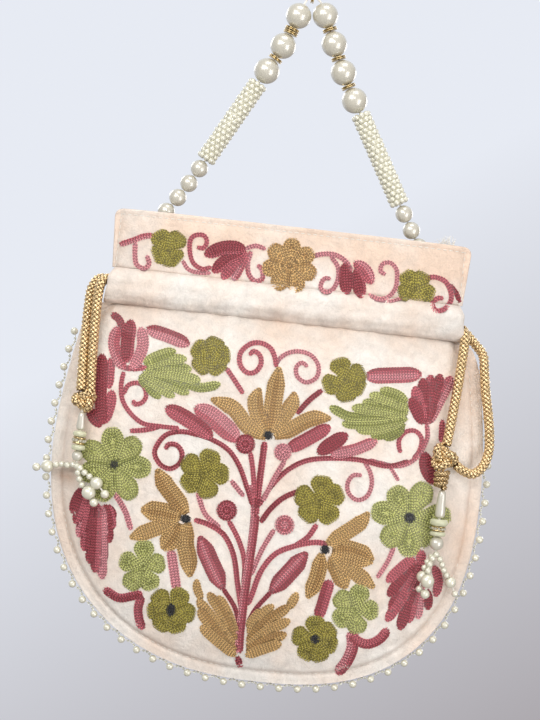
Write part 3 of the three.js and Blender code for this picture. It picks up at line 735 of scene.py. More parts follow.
def relief(x, z, face):
    # What the cloth adds to the plain section: folds, the rolled flange and its seam, hem and gathers
    x, z = np.asarray(x, float), np.asarray(z, float)
    distance, along = toEdge(x, z)
    onBody = 1 / (1 + np.exp((z - casingBottom - 1) / 0.8))
    onHeading = 1 / (1 + np.exp(-(z - casingTop - 0.5) / 0.5))
    shift = 0.0 if face == "front" else 2.1
    flange = 0.35 * bell(distance, 3.4, 1.5) - 0.7 * bell(distance, 5.6, 0.7) + 0.3 * bell(distance, 7.6, 1.3)
    out = onBody * flange
    pucker = np.sin(along * 0.83 + shift) + 0.6 * np.sin(along * 1.37 + 1 + shift) + 0.5 * np.sin(along * 0.41)
    out = out + onBody * 0.16 * pucker * bell(distance, 7.5, 3.5)
    out = out + onBody * 0.07 * pucker * bell(distance, 2.5, 1.6)
    gather = np.sin(x * 0.62 + 1.3 * np.sin(x * 0.11 + shift)) + 0.6 * np.sin(x * 0.97 + 2 + shift)
    out = out + onBody * 0.22 * gather * np.exp((z - casingBottom) / 7.0)
    out = out + onHeading * 0.16 * gather * (0.3 + 0.7 * np.exp(-(z - casingTop) / 8.0))
    out = out - onHeading * (0.30 * bell(z, -2.8, 0.45) - 0.22 * bell(z, -1.2, 1.0))
    out = out - onHeading * 0.35 * bell(np.abs(x), 86.2, 0.7)
    roll = 0.5 * np.sin(x * 0.043 + z * 0.031 + shift) * np.sin(z * 0.052 - x * 0.017 + 0.7)
    roll = roll + 0.28 * np.sin(x * 0.097 - z * 0.08 + 2 * shift) * np.sin(z * 0.11 + 0.4)
    inside = 1 - np.exp(-((np.maximum(distance - 6, 0) / 14) ** 2))
    out = out + onBody * roll * inside
    for (xa, za), (xb, zb), width, depth in creases[face]:
        span = np.array([xb - xa, zb - za], float)
        t = np.clip(((x - xa) * span[0] + (z - za) * span[1]) / (span @ span), 0, 1)
        gap = np.hypot(x - xa - t * span[0], z - za - t * span[1])
        taper = np.sin(math.pi * np.clip(t, 0.08, 0.92)) ** 0.6
        fold = bell(gap, 0, width * 0.7) - 0.45 * bell(gap, width * 1.5, width * 0.9)
        out = out + onBody * depth * taper * fold
    return out


def panelRows():
    # z and the left and right edge at each row of a panel's mesh
    rows = []
    for z in np.concatenate([[0, -0.35, -0.8, -1.4, -2.1, -2.9], np.linspace(-4, casingTop, 20)]):
        half = bag["headingHalfWidth"] * (1 - 0.02 * (z / casingTop))
        near = max(0.0, 1 + z / bag["corner"])
        half -= bag["corner"] * (1 - math.sqrt(1 - near**2 * 0.98))
        rows.append((z, -half, half))
    for z in np.linspace(casingTop - bag["casingStep"], casingBottom + bag["casingStep"], 8):
        rows.append((z, -bag["notchHalfWidth"], bag["notchHalfWidth"]))
    for z in np.linspace(casingBottom, roundTop, 44):
        edge = np.interp(z, bodyLevels[:, 0], bodyLevels[:, 1])
        rows.append((z, -edge, edge))
    for angle in np.linspace(0, math.pi / 2, 62)[1:-1]:
        left, z = bottomEdge(np.array(angle))
        right, _ = bottomEdge(np.array(math.pi - angle))
        rows.append((float(z), float(left), float(right)))
    return rows


def velvetShade(x, z, face):
    # Colour of the nap, painted by place: peach patches and faint grey patches, with painted shade in the seam
    # groove near the edge and along the casing's seams, and a painted shadow on the left flange
    wave = np.sin(x * 0.071 + 1.1) * np.sin(z * 0.093 + x * 0.02 + 0.4) + 0.5 * np.sin(x * 0.19 - z * 0.05)
    fine = np.sin(x * 0.41 + 2 * np.sin(z * 0.23)) * np.sin(z * 0.37 + 1.4 * np.sin(x * 0.17 + 1))
    peach = 0.22 + 0.22 * wave + 0.10 * fine
    peach = peach + 0.30 * bell(x, 100, 16) + 0.22 * bell(z, -52, 8) + 0.25 * bell(x, -96, 9)
    peach = np.clip(peach + (0.60 + 0.28 * np.clip((x + 20) / 80, 0, 1)) * bell(z, -8, 15), 0, 1)
    if face == "back":
        peach = peach * 0.5
    shade = np.ones(np.shape(x) + (3,))
    shade -= peach[..., None] * np.array([0.02, 0.19, 0.30])
    distance, _ = toEdge(x, z)
    # Painted shade: darker in the seam groove near the edge, along both seams of the casing, and a painted
    # shadow patch on the left flange
    paintedShade = 0.16 * bell(distance, 5.9, 0.9) * (z < casingBottom)
    paintedShade = paintedShade + 0.08 * bell(z, casingBottom, 2.2) + 0.10 * bell(z, casingTop, 1.6)
    paintedShade = paintedShade + (0.38 * bell(np.hypot((x + 98.5) * 0.7, z + 135.5), 0, 4.0) if face == "front" else 0)
    grey = 0.07 * np.clip(np.sin(x * 0.033 + 2) * np.sin(z * 0.05), 0, 1)
    shade -= paintedShade[..., None] * np.array([0.75, 0.95, 1.05]) + grey[..., None] * np.array([1.0, 0.95, 0.9])
    return np.clip(shade, 0.05, 1)


def addPanel(face):
    facing = -1 if face == "front" else 1
    rows = panelRows()
    u = np.linspace(-1, 1, bag["columns"][face])
    u = np.sign(u) * (1 - (1 - np.abs(u)) ** 1.35)
    x = np.array([(left + right) / 2 + u * (right - left) / 2 for _, left, right in rows])
    z = np.array([[row[0]] * len(u) for row in rows])
    half = plainHalf(x, z)
    outer = half + relief(x, z, face)
    inner = np.maximum(half - bag["wall"], 0.15)
    outer = np.maximum(outer, inner + 0.6)
    outer[:, 0] = outer[:, -1] = 0.9
    outer[0] = np.maximum(outer[0] - 0.5, inner[0] + 0.4)
    points = np.concatenate([np.stack([x, facing * half, z], -1).reshape(-1, 3) for half in (outer, inner)])
    shade = np.concatenate([
        velvetShade(x, z, face).reshape(-1, 3), velvetShade(x, z, "back").reshape(-1, 3) * 0.92,
    ])
    panel = addMesh(f"velvet_{face}", points, shellFaces(*x.shape), velvetMaterial, shade=shade)
    outwardNormals(panel)
    return carry(panel, "velvet", f"{face}_panel")


for face in ("front", "back"):
    addPanel(face)
print("stage: velvet panels")

# Casing: a band of velvet over the drawcords, seamed along both edges and open at both ends
casing = {
    "halfHeight": 9.0, "innerHeight": 0.89, "wall": 1.5, "exitCrown": 8.7, "cord": 4.8, "slack": 0.9,
    "cordSpacing": 5.4, "gather": 0.62, "flare": 3.6, "endReach": 2.3, "columns": 200, "rows": 31,
}


def neckHalf(x):  # half depth of the neck below the cords
    share = np.minimum(1, np.abs(x) / bag["headingSeam"])
    return dished(bag["flangeHalf"], bag["neckHalf"], share, bag["boxySquare"])


def casingHalf(x, across):
    under = neckHalf(np.minimum(np.abs(x), bag["notchHalfWidth"]))
    crown = under + bag["gap"] + casing["cord"] + casing["slack"]
    turn = np.clip((np.abs(x) - bag["notchHalfWidth"]) / (bag["headingSeam"] - bag["notchHalfWidth"]), 0, 1)
    crown = casing["exitCrown"] + (crown - casing["exitCrown"]) * np.sqrt(1 - turn**2)
    share = np.minimum(1, np.abs(x) / bag["headingSeam"])
    foot = dished(bag["flangeHalf"], bag["recessHalf"], share, bag["boxySquare"]) + bag["gap"]
    return dished(foot, crown, np.abs(across), 3)


def addCasing(face):
    facing = -1 if face == "front" else 1
    x, across = np.meshgrid(np.linspace(-bag["headingSeam"], bag["headingSeam"], casing["columns"]),
                            np.sin(np.linspace(-1, 1, casing["rows"]) * math.pi / 2), indexing="ij")
    middle = casingTop - bag["casingHeight"] / 2
    z = middle - across * casing["halfHeight"]
    inner = casingHalf(x, across)
    flare = casing["endReach"] * np.clip((across + 0.95) / 0.5, 0, 1)
    flare = flare + (casing["flare"] - casing["endReach"]) * np.clip(across, 0, 1)
    flare = flare * np.abs(x / bag["headingSeam"]) ** 8 * np.sign(x)
    shift = 0.0 if face == "front" else 1.7
    folds = np.sin(x * 0.55 + 1.4 * np.sin(x * 0.09 + shift) + across * 0.5)
    folds = folds + 0.55 * np.sin(x * 1.21 + 2.0 * across + shift)
    folds = folds + 0.7 * np.sin(x * 0.23 - 1.6 * across + shift) * np.sin(x * 0.071 + 0.6)
    slump = np.sin(x * 0.047 + 0.9 + shift) + 0.6 * np.sin(x * 0.113 + 2.3)
    cords = bell(z, middle + casing["cordSpacing"] / 2, 2.2) + bell(z, middle - casing["cordSpacing"] / 2, 2.2)
    outer = inner + casing["wall"] + casing["gather"] * folds * (0.35 + 0.65 * np.abs(across))
    outer = outer + 0.35 * cords - 0.2 + 0.55 * slump * bell(across, 0.45, 0.35)
    outer = outer - 0.5 * bell(across, 0.72 + 0.08 * np.sin(x * 0.09), 0.1)
    outer = np.maximum(outer, inner + 0.5)
    innerZ = middle + (z - middle) * casing["innerHeight"]
    points = np.concatenate([
        np.stack([x + flare, facing * outer, z], -1).reshape(-1, 3),
        np.stack([x + flare, facing * inner, innerZ], -1).reshape(-1, 3),
    ])
    shade = velvetShade(x, z, face)
    # Painted shade under the roll: its lower half, more so to the left, is darkened as if in its own shadow
    lower = np.clip((across - 0.05 + 0.25 * np.sin(x * 0.052 + 1.5)) / 0.75, 0, 1)
    rollUnderShade = (0.13 + 0.08 * np.sin(x * 0.21 + 4 * across) + 0.06 * np.sin(x * 0.53 - 3 * across)) * lower
    rollUnderShade = rollUnderShade * (0.55 + 0.45 * np.clip((60 - x) / 100, 0, 1))
    shade = shade - rollUnderShade[..., None] * np.array([0.95, 0.95, 0.90])
    band = addMesh(f"casing_roll_{face}", points, shellFaces(*x.shape), velvetMaterial,
                   shade=np.concatenate([shade.reshape(-1, 3), shade.reshape(-1, 3) * 0.9]))
    outwardNormals(band)
    return carry(band, "velvet", f"casing_{face}")


for face in ("front", "back"):
    addCasing(face)


cordRuns = {  # which side a drawcord leaves its casing on, and its height there
    "left": {"exitSide": -1, "z": -35.8},
    "right": {"exitSide": 1, "z": -41.2},
}
cordRunSettings = {"exitHalf": 5.4, "straight": 4.8, "inset": 1.1}


def casingRun(exitSide, z):
    # The drawcord inside the casing, as in the CAD: out at one side, round the neck and back
    radius = cordSettings["diameter"] / 2

    def under(x):
        return float(neckHalf(x)) + bag["gap"] + radius

    bend = under(bag["notchHalfWidth"])
    centre = bag["headingSeam"] - cordRunSettings["inset"] - radius - bend
    frontSide = [(s * centre, -under(s * centre)) for s in (-0.92, -0.75, -0.5, -0.2, 0.2, 0.5, 0.75)]
    turn = [(centre + bend * math.cos(a), bend * math.sin(a)) for a in np.radians([-75, -45, -15, 15, 45, 75])]
    out = cordRunSettings["exitHalf"]
    start = [(-bag["headingSeam"], -out), (cordRunSettings["straight"] - bag["headingSeam"], -out - 0.1)]
    backSide = [(x, -y) for x, y in [*start, *frontSide][::-1]]
    return [(-exitSide * x, y, z) for x, y in [*start, *frontSide, *turn, *backSide]]


for side, values in cordRuns.items():
    points, faces, uv = braided(
        casingRun(**values), cordSettings["diameter"], cordSettings["pitch"], **cordSettings["hidden"],
    )
    carry(addMesh(f"braid_run_{side}", points, faces, braid, uv), "gold_cord", f"drawcord_run_{side}")
print("stage: casing")


# Beads and stitches that repeat: one Geometry Nodes tree puts a bead on each point
def beadTree():
    # Puts a bead on every point, its Z along the stored facing and its X along the stored along
    tree = bpy.data.node_groups.new("beadsOnPoints", "GeometryNodeTree")
    for name, kind in (("Geometry", "Geometry"), ("Bead", "Object"), ("Variation", "Float"), ("Seed", "Int"),
                       ("Material", "Material")):
        tree.interface.new_socket(name=name, in_out="INPUT", socket_type=f"NodeSocket{kind}")
    tree.interface.new_socket(name="Geometry", in_out="OUTPUT", socket_type="NodeSocketGeometry")
    given = addNode(tree, "NodeGroupInput").outputs
    facing, along, size = (
        addNode(tree, "GeometryNodeInputNamedAttribute", {"data_type": "FLOAT_VECTOR"}, {"Name": name})
        .outputs["Attribute"] for name in ("facing", "along", "size")
    )
    turn = addNode(tree, "FunctionNodeAxesToRotation", {"primary_axis": "Z", "secondary_axis": "X"}, {
        "Primary Axis": facing, "Secondary Axis": along,
    })
    chance = addNode(tree, "FunctionNodeRandomValue", {"data_type": "FLOAT"}, {"Seed": given["Seed"]})
    for operation, socket in zip(("SUBTRACT", "ADD"), [s for s in chance.inputs if s.type == "VALUE"]):
        tree.links.new(addMath(tree, operation, 1.0, given["Variation"]), socket)
    scaled = addNode(tree, "ShaderNodeVectorMath", {"operation": "SCALE"}, {
        0: size, "Scale": [s for s in chance.outputs if s.type == "VALUE"][0],
    })
    bead = addNode(tree, "GeometryNodeObjectInfo", None, {"Object": given["Bead"]})
    placed = addNode(tree, "GeometryNodeInstanceOnPoints", None, {
        "Points": given["Geometry"], "Instance": bead.outputs["Geometry"],
        "Rotation": turn.outputs["Rotation"], "Scale": scaled.outputs["Vector"],
    })
    real = addNode(tree, "GeometryNodeRealizeInstances", None, {"Geometry": placed.outputs["Instances"]})
    finished = addNode(tree, "GeometryNodeSetMaterial", None, {
        "Geometry": real.outputs["Geometry"], "Material": given["Material"],
    })
    output = addNode(tree, "NodeGroupOutput")
    tree.links.new(finished.outputs["Geometry"], output.inputs["Geometry"])
    return tree


beadsOnPoints = beadTree()


def beadSource(name, points, faces, shade=None):  # a bead to copy, in millimetres round its own middle
    mesh = bpy.data.meshes.new(name)
    mesh.from_pydata([tuple(p) for p in np.asarray(points, float) / 1000], [], faces)
    mesh.shade_smooth()
    if shade is not None:
        layer = mesh.color_attributes.new("shade", "FLOAT_COLOR", "POINT")
        colours = np.column_stack([shade, shade, shade, np.ones(len(shade))])
        layer.data.foreach_set("color", colours.astype(np.float32).ravel())
    obj = bpy.data.objects.new(name, mesh)
    return obj


def addBeads(name, source, points, facing, along, size, variation, seed, material):
    mesh = bpy.data.meshes.new(name)
    mesh.from_pydata([tuple(p) for p in toFrame(points)], [], [])
    size = np.asarray(size, float)
    if size.ndim < 2:
        size = np.repeat(np.broadcast_to(size, len(points))[:, None], 3, axis=1)
    for key, values in (("facing", facing), ("along", along), ("size", size)):
        attribute = mesh.attributes.new(key, "FLOAT_VECTOR", "POINT")
        spread = np.broadcast_to(values, (len(points), 3))
        attribute.data.foreach_set("vector", np.asarray(spread, np.float32).ravel())
    holder = bpy.data.objects.new(name + "Points", mesh)
    scene.collection.objects.link(holder)
    modifier = holder.modifiers.new("beads", "NODES")
    modifier.node_group = beadsOnPoints
    given = {"Bead": source, "Variation": variation, "Seed": seed, "Material": material}
    for item in beadsOnPoints.interface.items_tree:
        if item.in_out == "INPUT" and item.name in given:
            modifier[item.identifier] = given[item.name]
    graph = bpy.context.evaluated_depsgraph_get()
    graph.update()
    made = bpy.data.meshes.new_from_object(holder.evaluated_get(graph), depsgraph=graph)
    made.name = name
    for extra in [a.name for a in made.attributes if a.name in ("facing", "along", "size")]:
        made.attributes.remove(made.attributes[extra])
    obj = bpy.data.objects.new(name, made)
    scene.collection.objects.link(obj)
    bpy.data.objects.remove(holder)
    return obj


beadShapes = {  # hole, sides and bands of a bead of 1 mm
    "roundBead": (0.14, 16, 9), "seedBead": (0.16, 12, 7), "smallBead": (0.24, 10, 6),
}
roundBead, seedBead, smallBead = (
    beadSource(name, *turned(ballProfile(1.0, hole, bands)[1:-1], np.zeros(3), (0, 0, 1), sides))
    for name, (hole, sides, bands) in beadShapes.items()
)
# The shade column is painted light: painted shade at the legs' ends and a painted highlight at the top of each
# leg
stitchLeg = [  # along the stitch, across it and up, thickness and shade, for a stitch of length and width 1
    (-0.52, 0.45, -0.09, 0.09, 0.55),
    (0.10, 0.28, 0.18, 0.20, 1.62),
    (0.68, 0.03, -0.09, 0.09, 0.55),
]


def stitchMesh():
    # One chain stitch: two plump legs that meet at its front end and run into the next one
    leg = np.array(stitchLeg)
    parts = []
    for side in (-1, 1):
        line = leg[:, :3] * (1, side, 1)
        along = unit(np.gradient(line, axis=0))
        up = np.tile([0.0, 0.0, 1.0], (len(leg), 1))
        parts.append(sweep(line, unit(np.cross(up, along)), up, leg[:, 3], leg[:, 3] * 1.05, 4))
    points, faces, _ = joined(parts)
    return points, faces, np.tile(np.repeat(leg[:, 4], 4), 2)


chainStitch = beadSource("chainStitch", *stitchMesh())
print("stage: bead tree")

# Handle
handleRoutes = {
    "left": [
        (-63.9, 0, 1.8), (-54.4, 0, 16.6), (-47.6, 0, 29.4), (-36.5, 0, 50), (-25.6, 0, 70.4),
        (-22.5, 0, 76.5), (-15.5, 0, 89.2), (-9.8, 0, 105.3), (-7.6, 0, 111.3), (-5.9, 0, 114.8),
    ],
    "right": [
        (-0.8, 0, 114.9), (1.1, 0, 113.1), (3.7, 0, 107.2), (10, 0, 93), (16, 0, 79.2), (23.2, 0, 66.3),
        (26.6, 0, 60.3), (39.2, 0, 38.6), (51.6, 0, 17.1), (58.8, 0, 4.8), (69.9, 0, -14.4),
    ],
    "leftEnd": [(-69.4, 6.1, -8.4), (-69.2, 2.6, -7.6), (-68.4, 0.9, -5.8), (-66.9, 0, -3)],
    "rightEnd": [(71.2, 0.9, -16.9), (71.8, 2.6, -18.6), (72.0, 5.9, -19.4)],
}
handlePath = smoothRoute([
    *handleRoutes["leftEnd"], *handleRoutes["left"], tuple(hangPoint), *handleRoutes["right"],
    *handleRoutes["rightEnd"],
], 0.5)
handleAlong, handleSide, handleOther = carriedFrames(handlePath)


def threadDirection(point):
    return handleAlong[np.linalg.norm(handlePath - point, axis=1).argmin()]


handle = {
    "thread": 1.0, "pearl": 12.8, "pearls": 7, "bead": 8.7, "beads": 4, "hole": 2.0,
    "ring": 7.4, "ringThickness": 1.5, "ringHole": 2.4, "rings": 7, "sleeve": 10.2,
}
points, faces, uv = sweep(handlePath, handleSide, handleOther, handle["thread"] / 2, handle["thread"] / 2, 8)
carry(addMesh("thread_line", points, faces, nylonMaterial, uv), "nylon", "handle_thread")


def strungPiece(name, node, profile, sides, material, slot):  # turned about the thread, in its node's place
    centre = centreOf(node)
    points, faces = turned(profile, centre, threadDirection(centre), sides)
    carry(addMesh(name, points, faces, material), slot, node)


for i in range(1, handle["pearls"] + 1):
    profile = ballProfile(handle["pearl"], handle["hole"], 22)
    strungPiece(f"pearl_large_{i}", f"handle_pearl_{i}", profile, 40, pearlMaterial, "pearl")
for side in ("left", "right"):
    for i in range(1, handle["beads"] + 1):
        profile = ballProfile(handle["bead"], handle["hole"], 18)
        strungPiece(f"pearl_small_{side}_{i}", f"handle_bead_{side}_{i}", profile, 32, pearlMaterial, "pearl")


def ringProfile(diameter, thickness, hole):
    # Two thin plates with a groove between them
    half, radius, edge = thickness / 2, diameter / 2, thickness * 0.19
    turn = np.linspace(-math.pi / 2, math.pi / 2, 7)
    plates = []
    for middle in (-half + edge, half - edge):
        plates += [(radius - edge + edge * math.cos(a), middle + edge * math.sin(a)) for a in turn]
        if middle < 0:
            plates += [(radius - 0.9, middle + edge), (radius - 0.9, -middle - edge)]
    return [(hole / 2, -half), *plates, (hole / 2, half)]


for i in range(1, handle["rings"] + 1):
    profile = ringProfile(handle["ring"], handle["ringThickness"], handle["ringHole"])
    strungPiece(f"ring_gold_{i}", f"handle_ring_{i}", profile, 36, goldMaterial, "gold")

sleeves = {
    "seed": 3.0, "around": 8, "rowPitch": 2.46, "variation": 0.05, "randomSeed": 11, "endInset": 1.2,
    "lengths": {"left": 48.0, "right": 50.5},
}
for side, length in sleeves["lengths"].items():
    node = f"handle_sleeve_{side}"
    centre = centreOf(node)
    axis = threadDirection(centre)
    first = unit(np.cross(axis, (0.0, 1.0, 0.0)))
    second = np.cross(axis, first)
    rowCount = int((length - sleeves["seed"]) / sleeves["rowPitch"]) + 1
    ringRadius = handle["sleeve"] / 2 - sleeves["seed"] / 2
    places, facings, alongs = [], [], []
    for row in range(rowCount):
        height = (row - (rowCount - 1) / 2) * sleeves["rowPitch"]
        for k in range(sleeves["around"]):
            angle = 2 * math.pi * (k + row * 0.5) / sleeves["around"]
            outward = math.cos(angle) * first + math.sin(angle) * second
            places.append(centre + axis * height + outward * ringRadius)
            facings.append(np.cross(axis, outward) + axis * 0.5)
            alongs.append(outward)
    beads = addBeads(
        f"sleeve_seeds_{side}", seedBead, places, facings, alongs, sleeves["seed"],
        sleeves["variation"], sleeves["randomSeed"], seedMaterial,
    )
    carry(beads, "seed_pearl", node)
    coreRadius, coreEnd = ringRadius * 1.1, length / 2 - sleeves["endInset"]
    core, faces = turned([(coreRadius, -coreEnd), (coreRadius, coreEnd)], centre, axis, 16)
    carry(addMesh(f"sleeve_core_{side}", core, faces, seedMaterial), "seed_pearl")
print("stage: handle")

# Pearl edging along the flange, with clear seeds and the stitches that hold it
edging = {"offset": 2.6, "pearl": 3.8, "pitch": 9.3, "seed": 1.35, "thread": 0.4, "firstLevel": 0.2}
levelTop = casingBottom - bag["sideHeight"] * edging["firstLevel"]
edgeLine = outline[outline[:, 1] <= levelTop + 0.5]
edgeLine = resample(edgeLine, 1.0)
edgeTangent = unit(np.gradient(edgeLine, axis=0))
edgeOut = np.stack([edgeTangent[:, 1], -edgeTangent[:, 0]], 1)
edgeLine3 = np.stack([edgeLine[:, 0] + edgeOut[:, 0] * edging["offset"], np.zeros(len(edgeLine)),
                      edgeLine[:, 1] + edgeOut[:, 1] * edging["offset"]], 1)
edgeRun = runAlong(edgeLine3)


def onEdge(at, inward=0.0):
    x, z = (np.interp(at, edgeRun, edgeLine3[:, k]) for k in (0, 2))
    ox, oz = (np.interp(at, edgeRun, edgeOut[:, k]) for k in (0, 1))
    return np.stack([x - ox * inward, np.zeros(len(x)), z - oz * inward], 1)


def edgeDirection(at):
    return unit(onEdge(at + 0.5) - onEdge(at - 0.5))


pearlAt = np.arange(2.0, edgeRun[-1] - 1.0, edging["pitch"])
seedAt, seedIn = [], []
for start in pearlAt[:-1]:
    for share, inward in ((0.36, 1.35), (0.55, 1.75), (0.74, 1.35)):
        seedAt.append(start + share * edging["pitch"])
        seedIn.append(inward)
seedAt, seedIn = np.array(seedAt), np.array(seedIn)
outwardAt = unit(onEdge(pearlAt, -1.0) - onEdge(pearlAt))
pearls = addBeads(
    "edging_pearls", roundBead, onEdge(pearlAt, -0.05), edgeDirection(pearlAt), outwardAt, edging["pearl"],
    0.04, 5, seedMaterial,
)
carry(pearls, "seed_pearl", "pearl_edging")
seeds = addBeads(
    "edging_seeds", smallBead, onEdge(seedAt, seedIn), edgeDirection(seedAt), (0, 1, 0), edging["seed"],
    0.12, 6, clearSeedMaterial,
)
carry(seeds, "seed_pearl")
threadAt = np.arange(1.0, edgeRun[-1] - 0.5, 0.8)
sway = 1.15 + 0.75 * np.sin(2 * math.pi * (threadAt - 2.0) / edging["pitch"] - math.pi / 2)
threadLine = onEdge(threadAt, sway)
_, across, other = carriedFrames(threadLine)
points, faces, uv = sweep(threadLine, across, other, edging["thread"] / 2, edging["thread"] / 2, 6)
carry(addMesh("edging_thread", points, faces, nylonMaterial, uv), "nylon")
print("stage: edging")

# Tassels: drop, discs and stone ring on each knot, then three strands of seeds that end in a pearl and a bead
tassels = {
    "left": {
        "drop": (9.0, 3.1, 4.6), "discUpper": (2.8, 6.9), "ring": (3.4, 6.9), "discLower": (2.7, 7.1),
        "pearl": 5.4, "stemEnd": (-93.6, -12.5, -128.4), "seed": 3.3, "stones": 10, "ringLean": 5,
        "strands": [
            ((6.2, 4.2), [(-3.6, 1.4, -1.2), (-8.4, 4, -1.4), (-14.7, 6, -3.2), (-20.2, 6.3, -4.2)]),
            ((6.4, 4.4), [(3.6, -1.2, -3.2), (7.4, -2.4, -5.4), (11.2, -3.5, -8.2), (15.9, -4, -13)]),
            ((7.2, 4.4), [(1.6, -0.6, -5.2), (3.9, -1.4, -10), (7.8, -3, -13.2), (11, -3.5, -17.8)]),
        ],
    },
    "right": {
        "drop": (14.0, 3.6, 5.6), "discUpper": (3.4, 9.2), "ring": (2.4, 7.4), "discLower": (2.2, 8.0),
        "pearl": 7.0, "stemEnd": (86.9, -16.0, -152.0), "seed": 3.2, "stones": 12, "ringLean": 0,
        "strands": [
            ((7.0, 4.6), [(-1.9, -0.4, -4.4), (-2.8, -1, -9), (-2.6, -1.8, -14), (-3, -1.6, -20.4)]),
            ((6.0, 3.6), [(-2.6, 1, -3.4), (-4.3, 1.2, -7.2), (-4.9, 1.6, -12.3), (-5.8, 1.2, -18.6)]),
            ((5.8, 3.4), [(3, 1.2, -3.4), (5.6, 3.2, -8.6), (9.5, 5.6, -14), (12.4, 6.4, -19.6)]),
        ],
    },
}


def discProfile(thickness, diameter, hole=1.6):
    half = thickness / 2
    turn = np.linspace(-math.pi / 2, math.pi / 2, 9)
    rim = [(diameter / 2 - half * 0.8 + half * 0.8 * math.cos(a), half * math.sin(a)) for a in turn]
    return [(hole / 2, -half * 0.9), *rim, (hole / 2, half * 0.9)]


def dropProfile(length, top, bottom, hole=1.6):
    heights = np.linspace(-0.5, 0.5, 19)
    taper = bottom + (top - bottom) * (heights + 0.5)
    ends = (1 - np.abs(heights * 2) ** 5) ** 0.5
    radii = np.maximum(taper / 2 * (0.4 + 0.6 * ends), hole / 2)
    return [(hole / 2, -length / 2), *zip(radii[1:-1], heights[1:-1] * length), (hole / 2, length / 2)]


for side, values in tassels.items():
    upright = (0.0, 0.0, 1.0)
    for part, profile, material, slot in (
        ("drop", dropProfile(*values["drop"]), pearlMaterial, "pearl"),
        ("disc_upper", discProfile(*values["discUpper"]), glassMaterial, "pearl"),
        ("disc_lower", discProfile(*values["discLower"]), glassMaterial, "pearl"),
        ("pearl", ballProfile(values["pearl"], 1.6, 18), pearlMaterial, "pearl"),
    ):
        node = f"tassel_{part}_{side}"
        points, faces = turned(profile, centreOf(node), upright, 28)
        carry(addMesh(f"{part}_{side}", points, faces, material), slot, node)
    node = f"tassel_ring_{side}"
    centre = centreOf(node)
    height, width = values["ring"]
    lean = math.radians(values["ringLean"])
    axis = np.array([math.sin(lean), 0, math.cos(lean)])
    rim, half = width / 2 - 0.45, height / 2
    upper = [(rim - 0.25, half / 2), (rim + 0.3, half - 0.35), (rim, half), (0.8, half)]
    profile = [*[(radius, -level) for radius, level in upper[::-1]], *upper]
    points, faces = turned(profile, centre, axis, 36)
    carry(addMesh(f"stone_ring_{side}", points, faces, goldMaterial), "stone_ring", node)
    first = unit(np.cross(axis, (0.0, 1.0, 0.0)))
    second = np.cross(axis, first)
    angles = np.linspace(0, 2 * math.pi, values["stones"], endpoint=False)
    outward = np.cos(angles)[:, None] * first + np.sin(angles)[:, None] * second
    stoneSize = min(height * 0.62, 2 * math.pi * rim / values["stones"] * 0.9)
    stones = addBeads(
        f"stones_{side}", smallBead, centre + outward * (rim - 0.15), outward, axis, stoneSize,
        0.02, 3, clearSeedMaterial,
    )
    carry(stones, "stone_ring")
    end = np.array(values["stemEnd"])
    threads, places, alongs, sizes = [], [], [], []
    for (pearlSize, beadSize), offsets in values["strands"]:
        route = smoothRoute([end, *[end + np.array(o) for o in offsets]], 0.25)
        run = runAlong(route)
        direction, across, other = carriedFrames(route)
        threads.append(sweep(route, across, other, 0.45, 0.45, 6))
        pearlRun = run[np.linalg.norm(route - (end + np.array(offsets[-2])), axis=1).argmin()]
        stop = pearlRun - pearlSize / 2
        count = max(1, int(stop / values["seed"] + 0.3))
        at = stop - values["seed"] * (np.arange(count) + 0.5)
        seedsAt = [(a, values["seed"]) for a in at if a > 0.3]
        for place, size in [*seedsAt, (pearlRun, pearlSize), (run[-1], beadSize)]:
            index = min(int(round(place / 0.25)), len(route) - 1)
            places.append(np.array([np.interp(place, run, route[:, k]) for k in range(3)]))
            alongs.append(direction[index])
            sizes.append(size)
    points, faces, uv = joined(threads)
    carry(addMesh(f"strand_threads_{side}", points, faces, nylonMaterial, uv), "nylon")
    strung = addBeads(
        f"strand_beads_{side}", roundBead, places, alongs, (0.1, 1, 0.2), sizes, 0.02, 4, seedMaterial,
    )
    carry(strung, "seed_pearl", f"tassel_strands_{side}")
    stem = turned([(0.55, values["stemEnd"][2] - 0.5), (0.55, values["stemEnd"][2] + values["drop"][0] + 18)],
                  np.array([end[0], end[1], 0.0]), upright, 10)
    carry(addMesh(f"stem_thread_{side}", stem[0], stem[1], nylonMaterial), "nylon")
print("stage: tassels")

# Seams: the sewing thread's dashes along the hem, the heading and the bag's edge, and the frayed tuft
seams = {
    "pitch": 3.1, "dash": 2.1, "thickness": 0.42, "inset": 5.4, "hemHalf": 85, "hemDrop": 2.8, "side": 86.2,
    "tuftFibres": 46, "tuftFrom": 71.5, "tuftTo": 80.5,
}


def onFront(line, sink=0.0):
    # A line of (x, z) laid on the front velvet, with the velvet's outward direction at each point
    x, z = line[:, 0], line[:, 1]
    depth = plainHalf(x, z) + relief(x, z, "front") - sink
    slopeX = (plainHalf(x + 0.5, z) - plainHalf(x - 0.5, z)) / 1.0
    slopeZ = (plainHalf(x, z + 0.5) - plainHalf(x, z - 0.5)) / 1.0
    return np.stack([x, -depth, z], 1), unit(np.stack([-slopeX, -np.ones(len(x)), -slopeZ], 1))


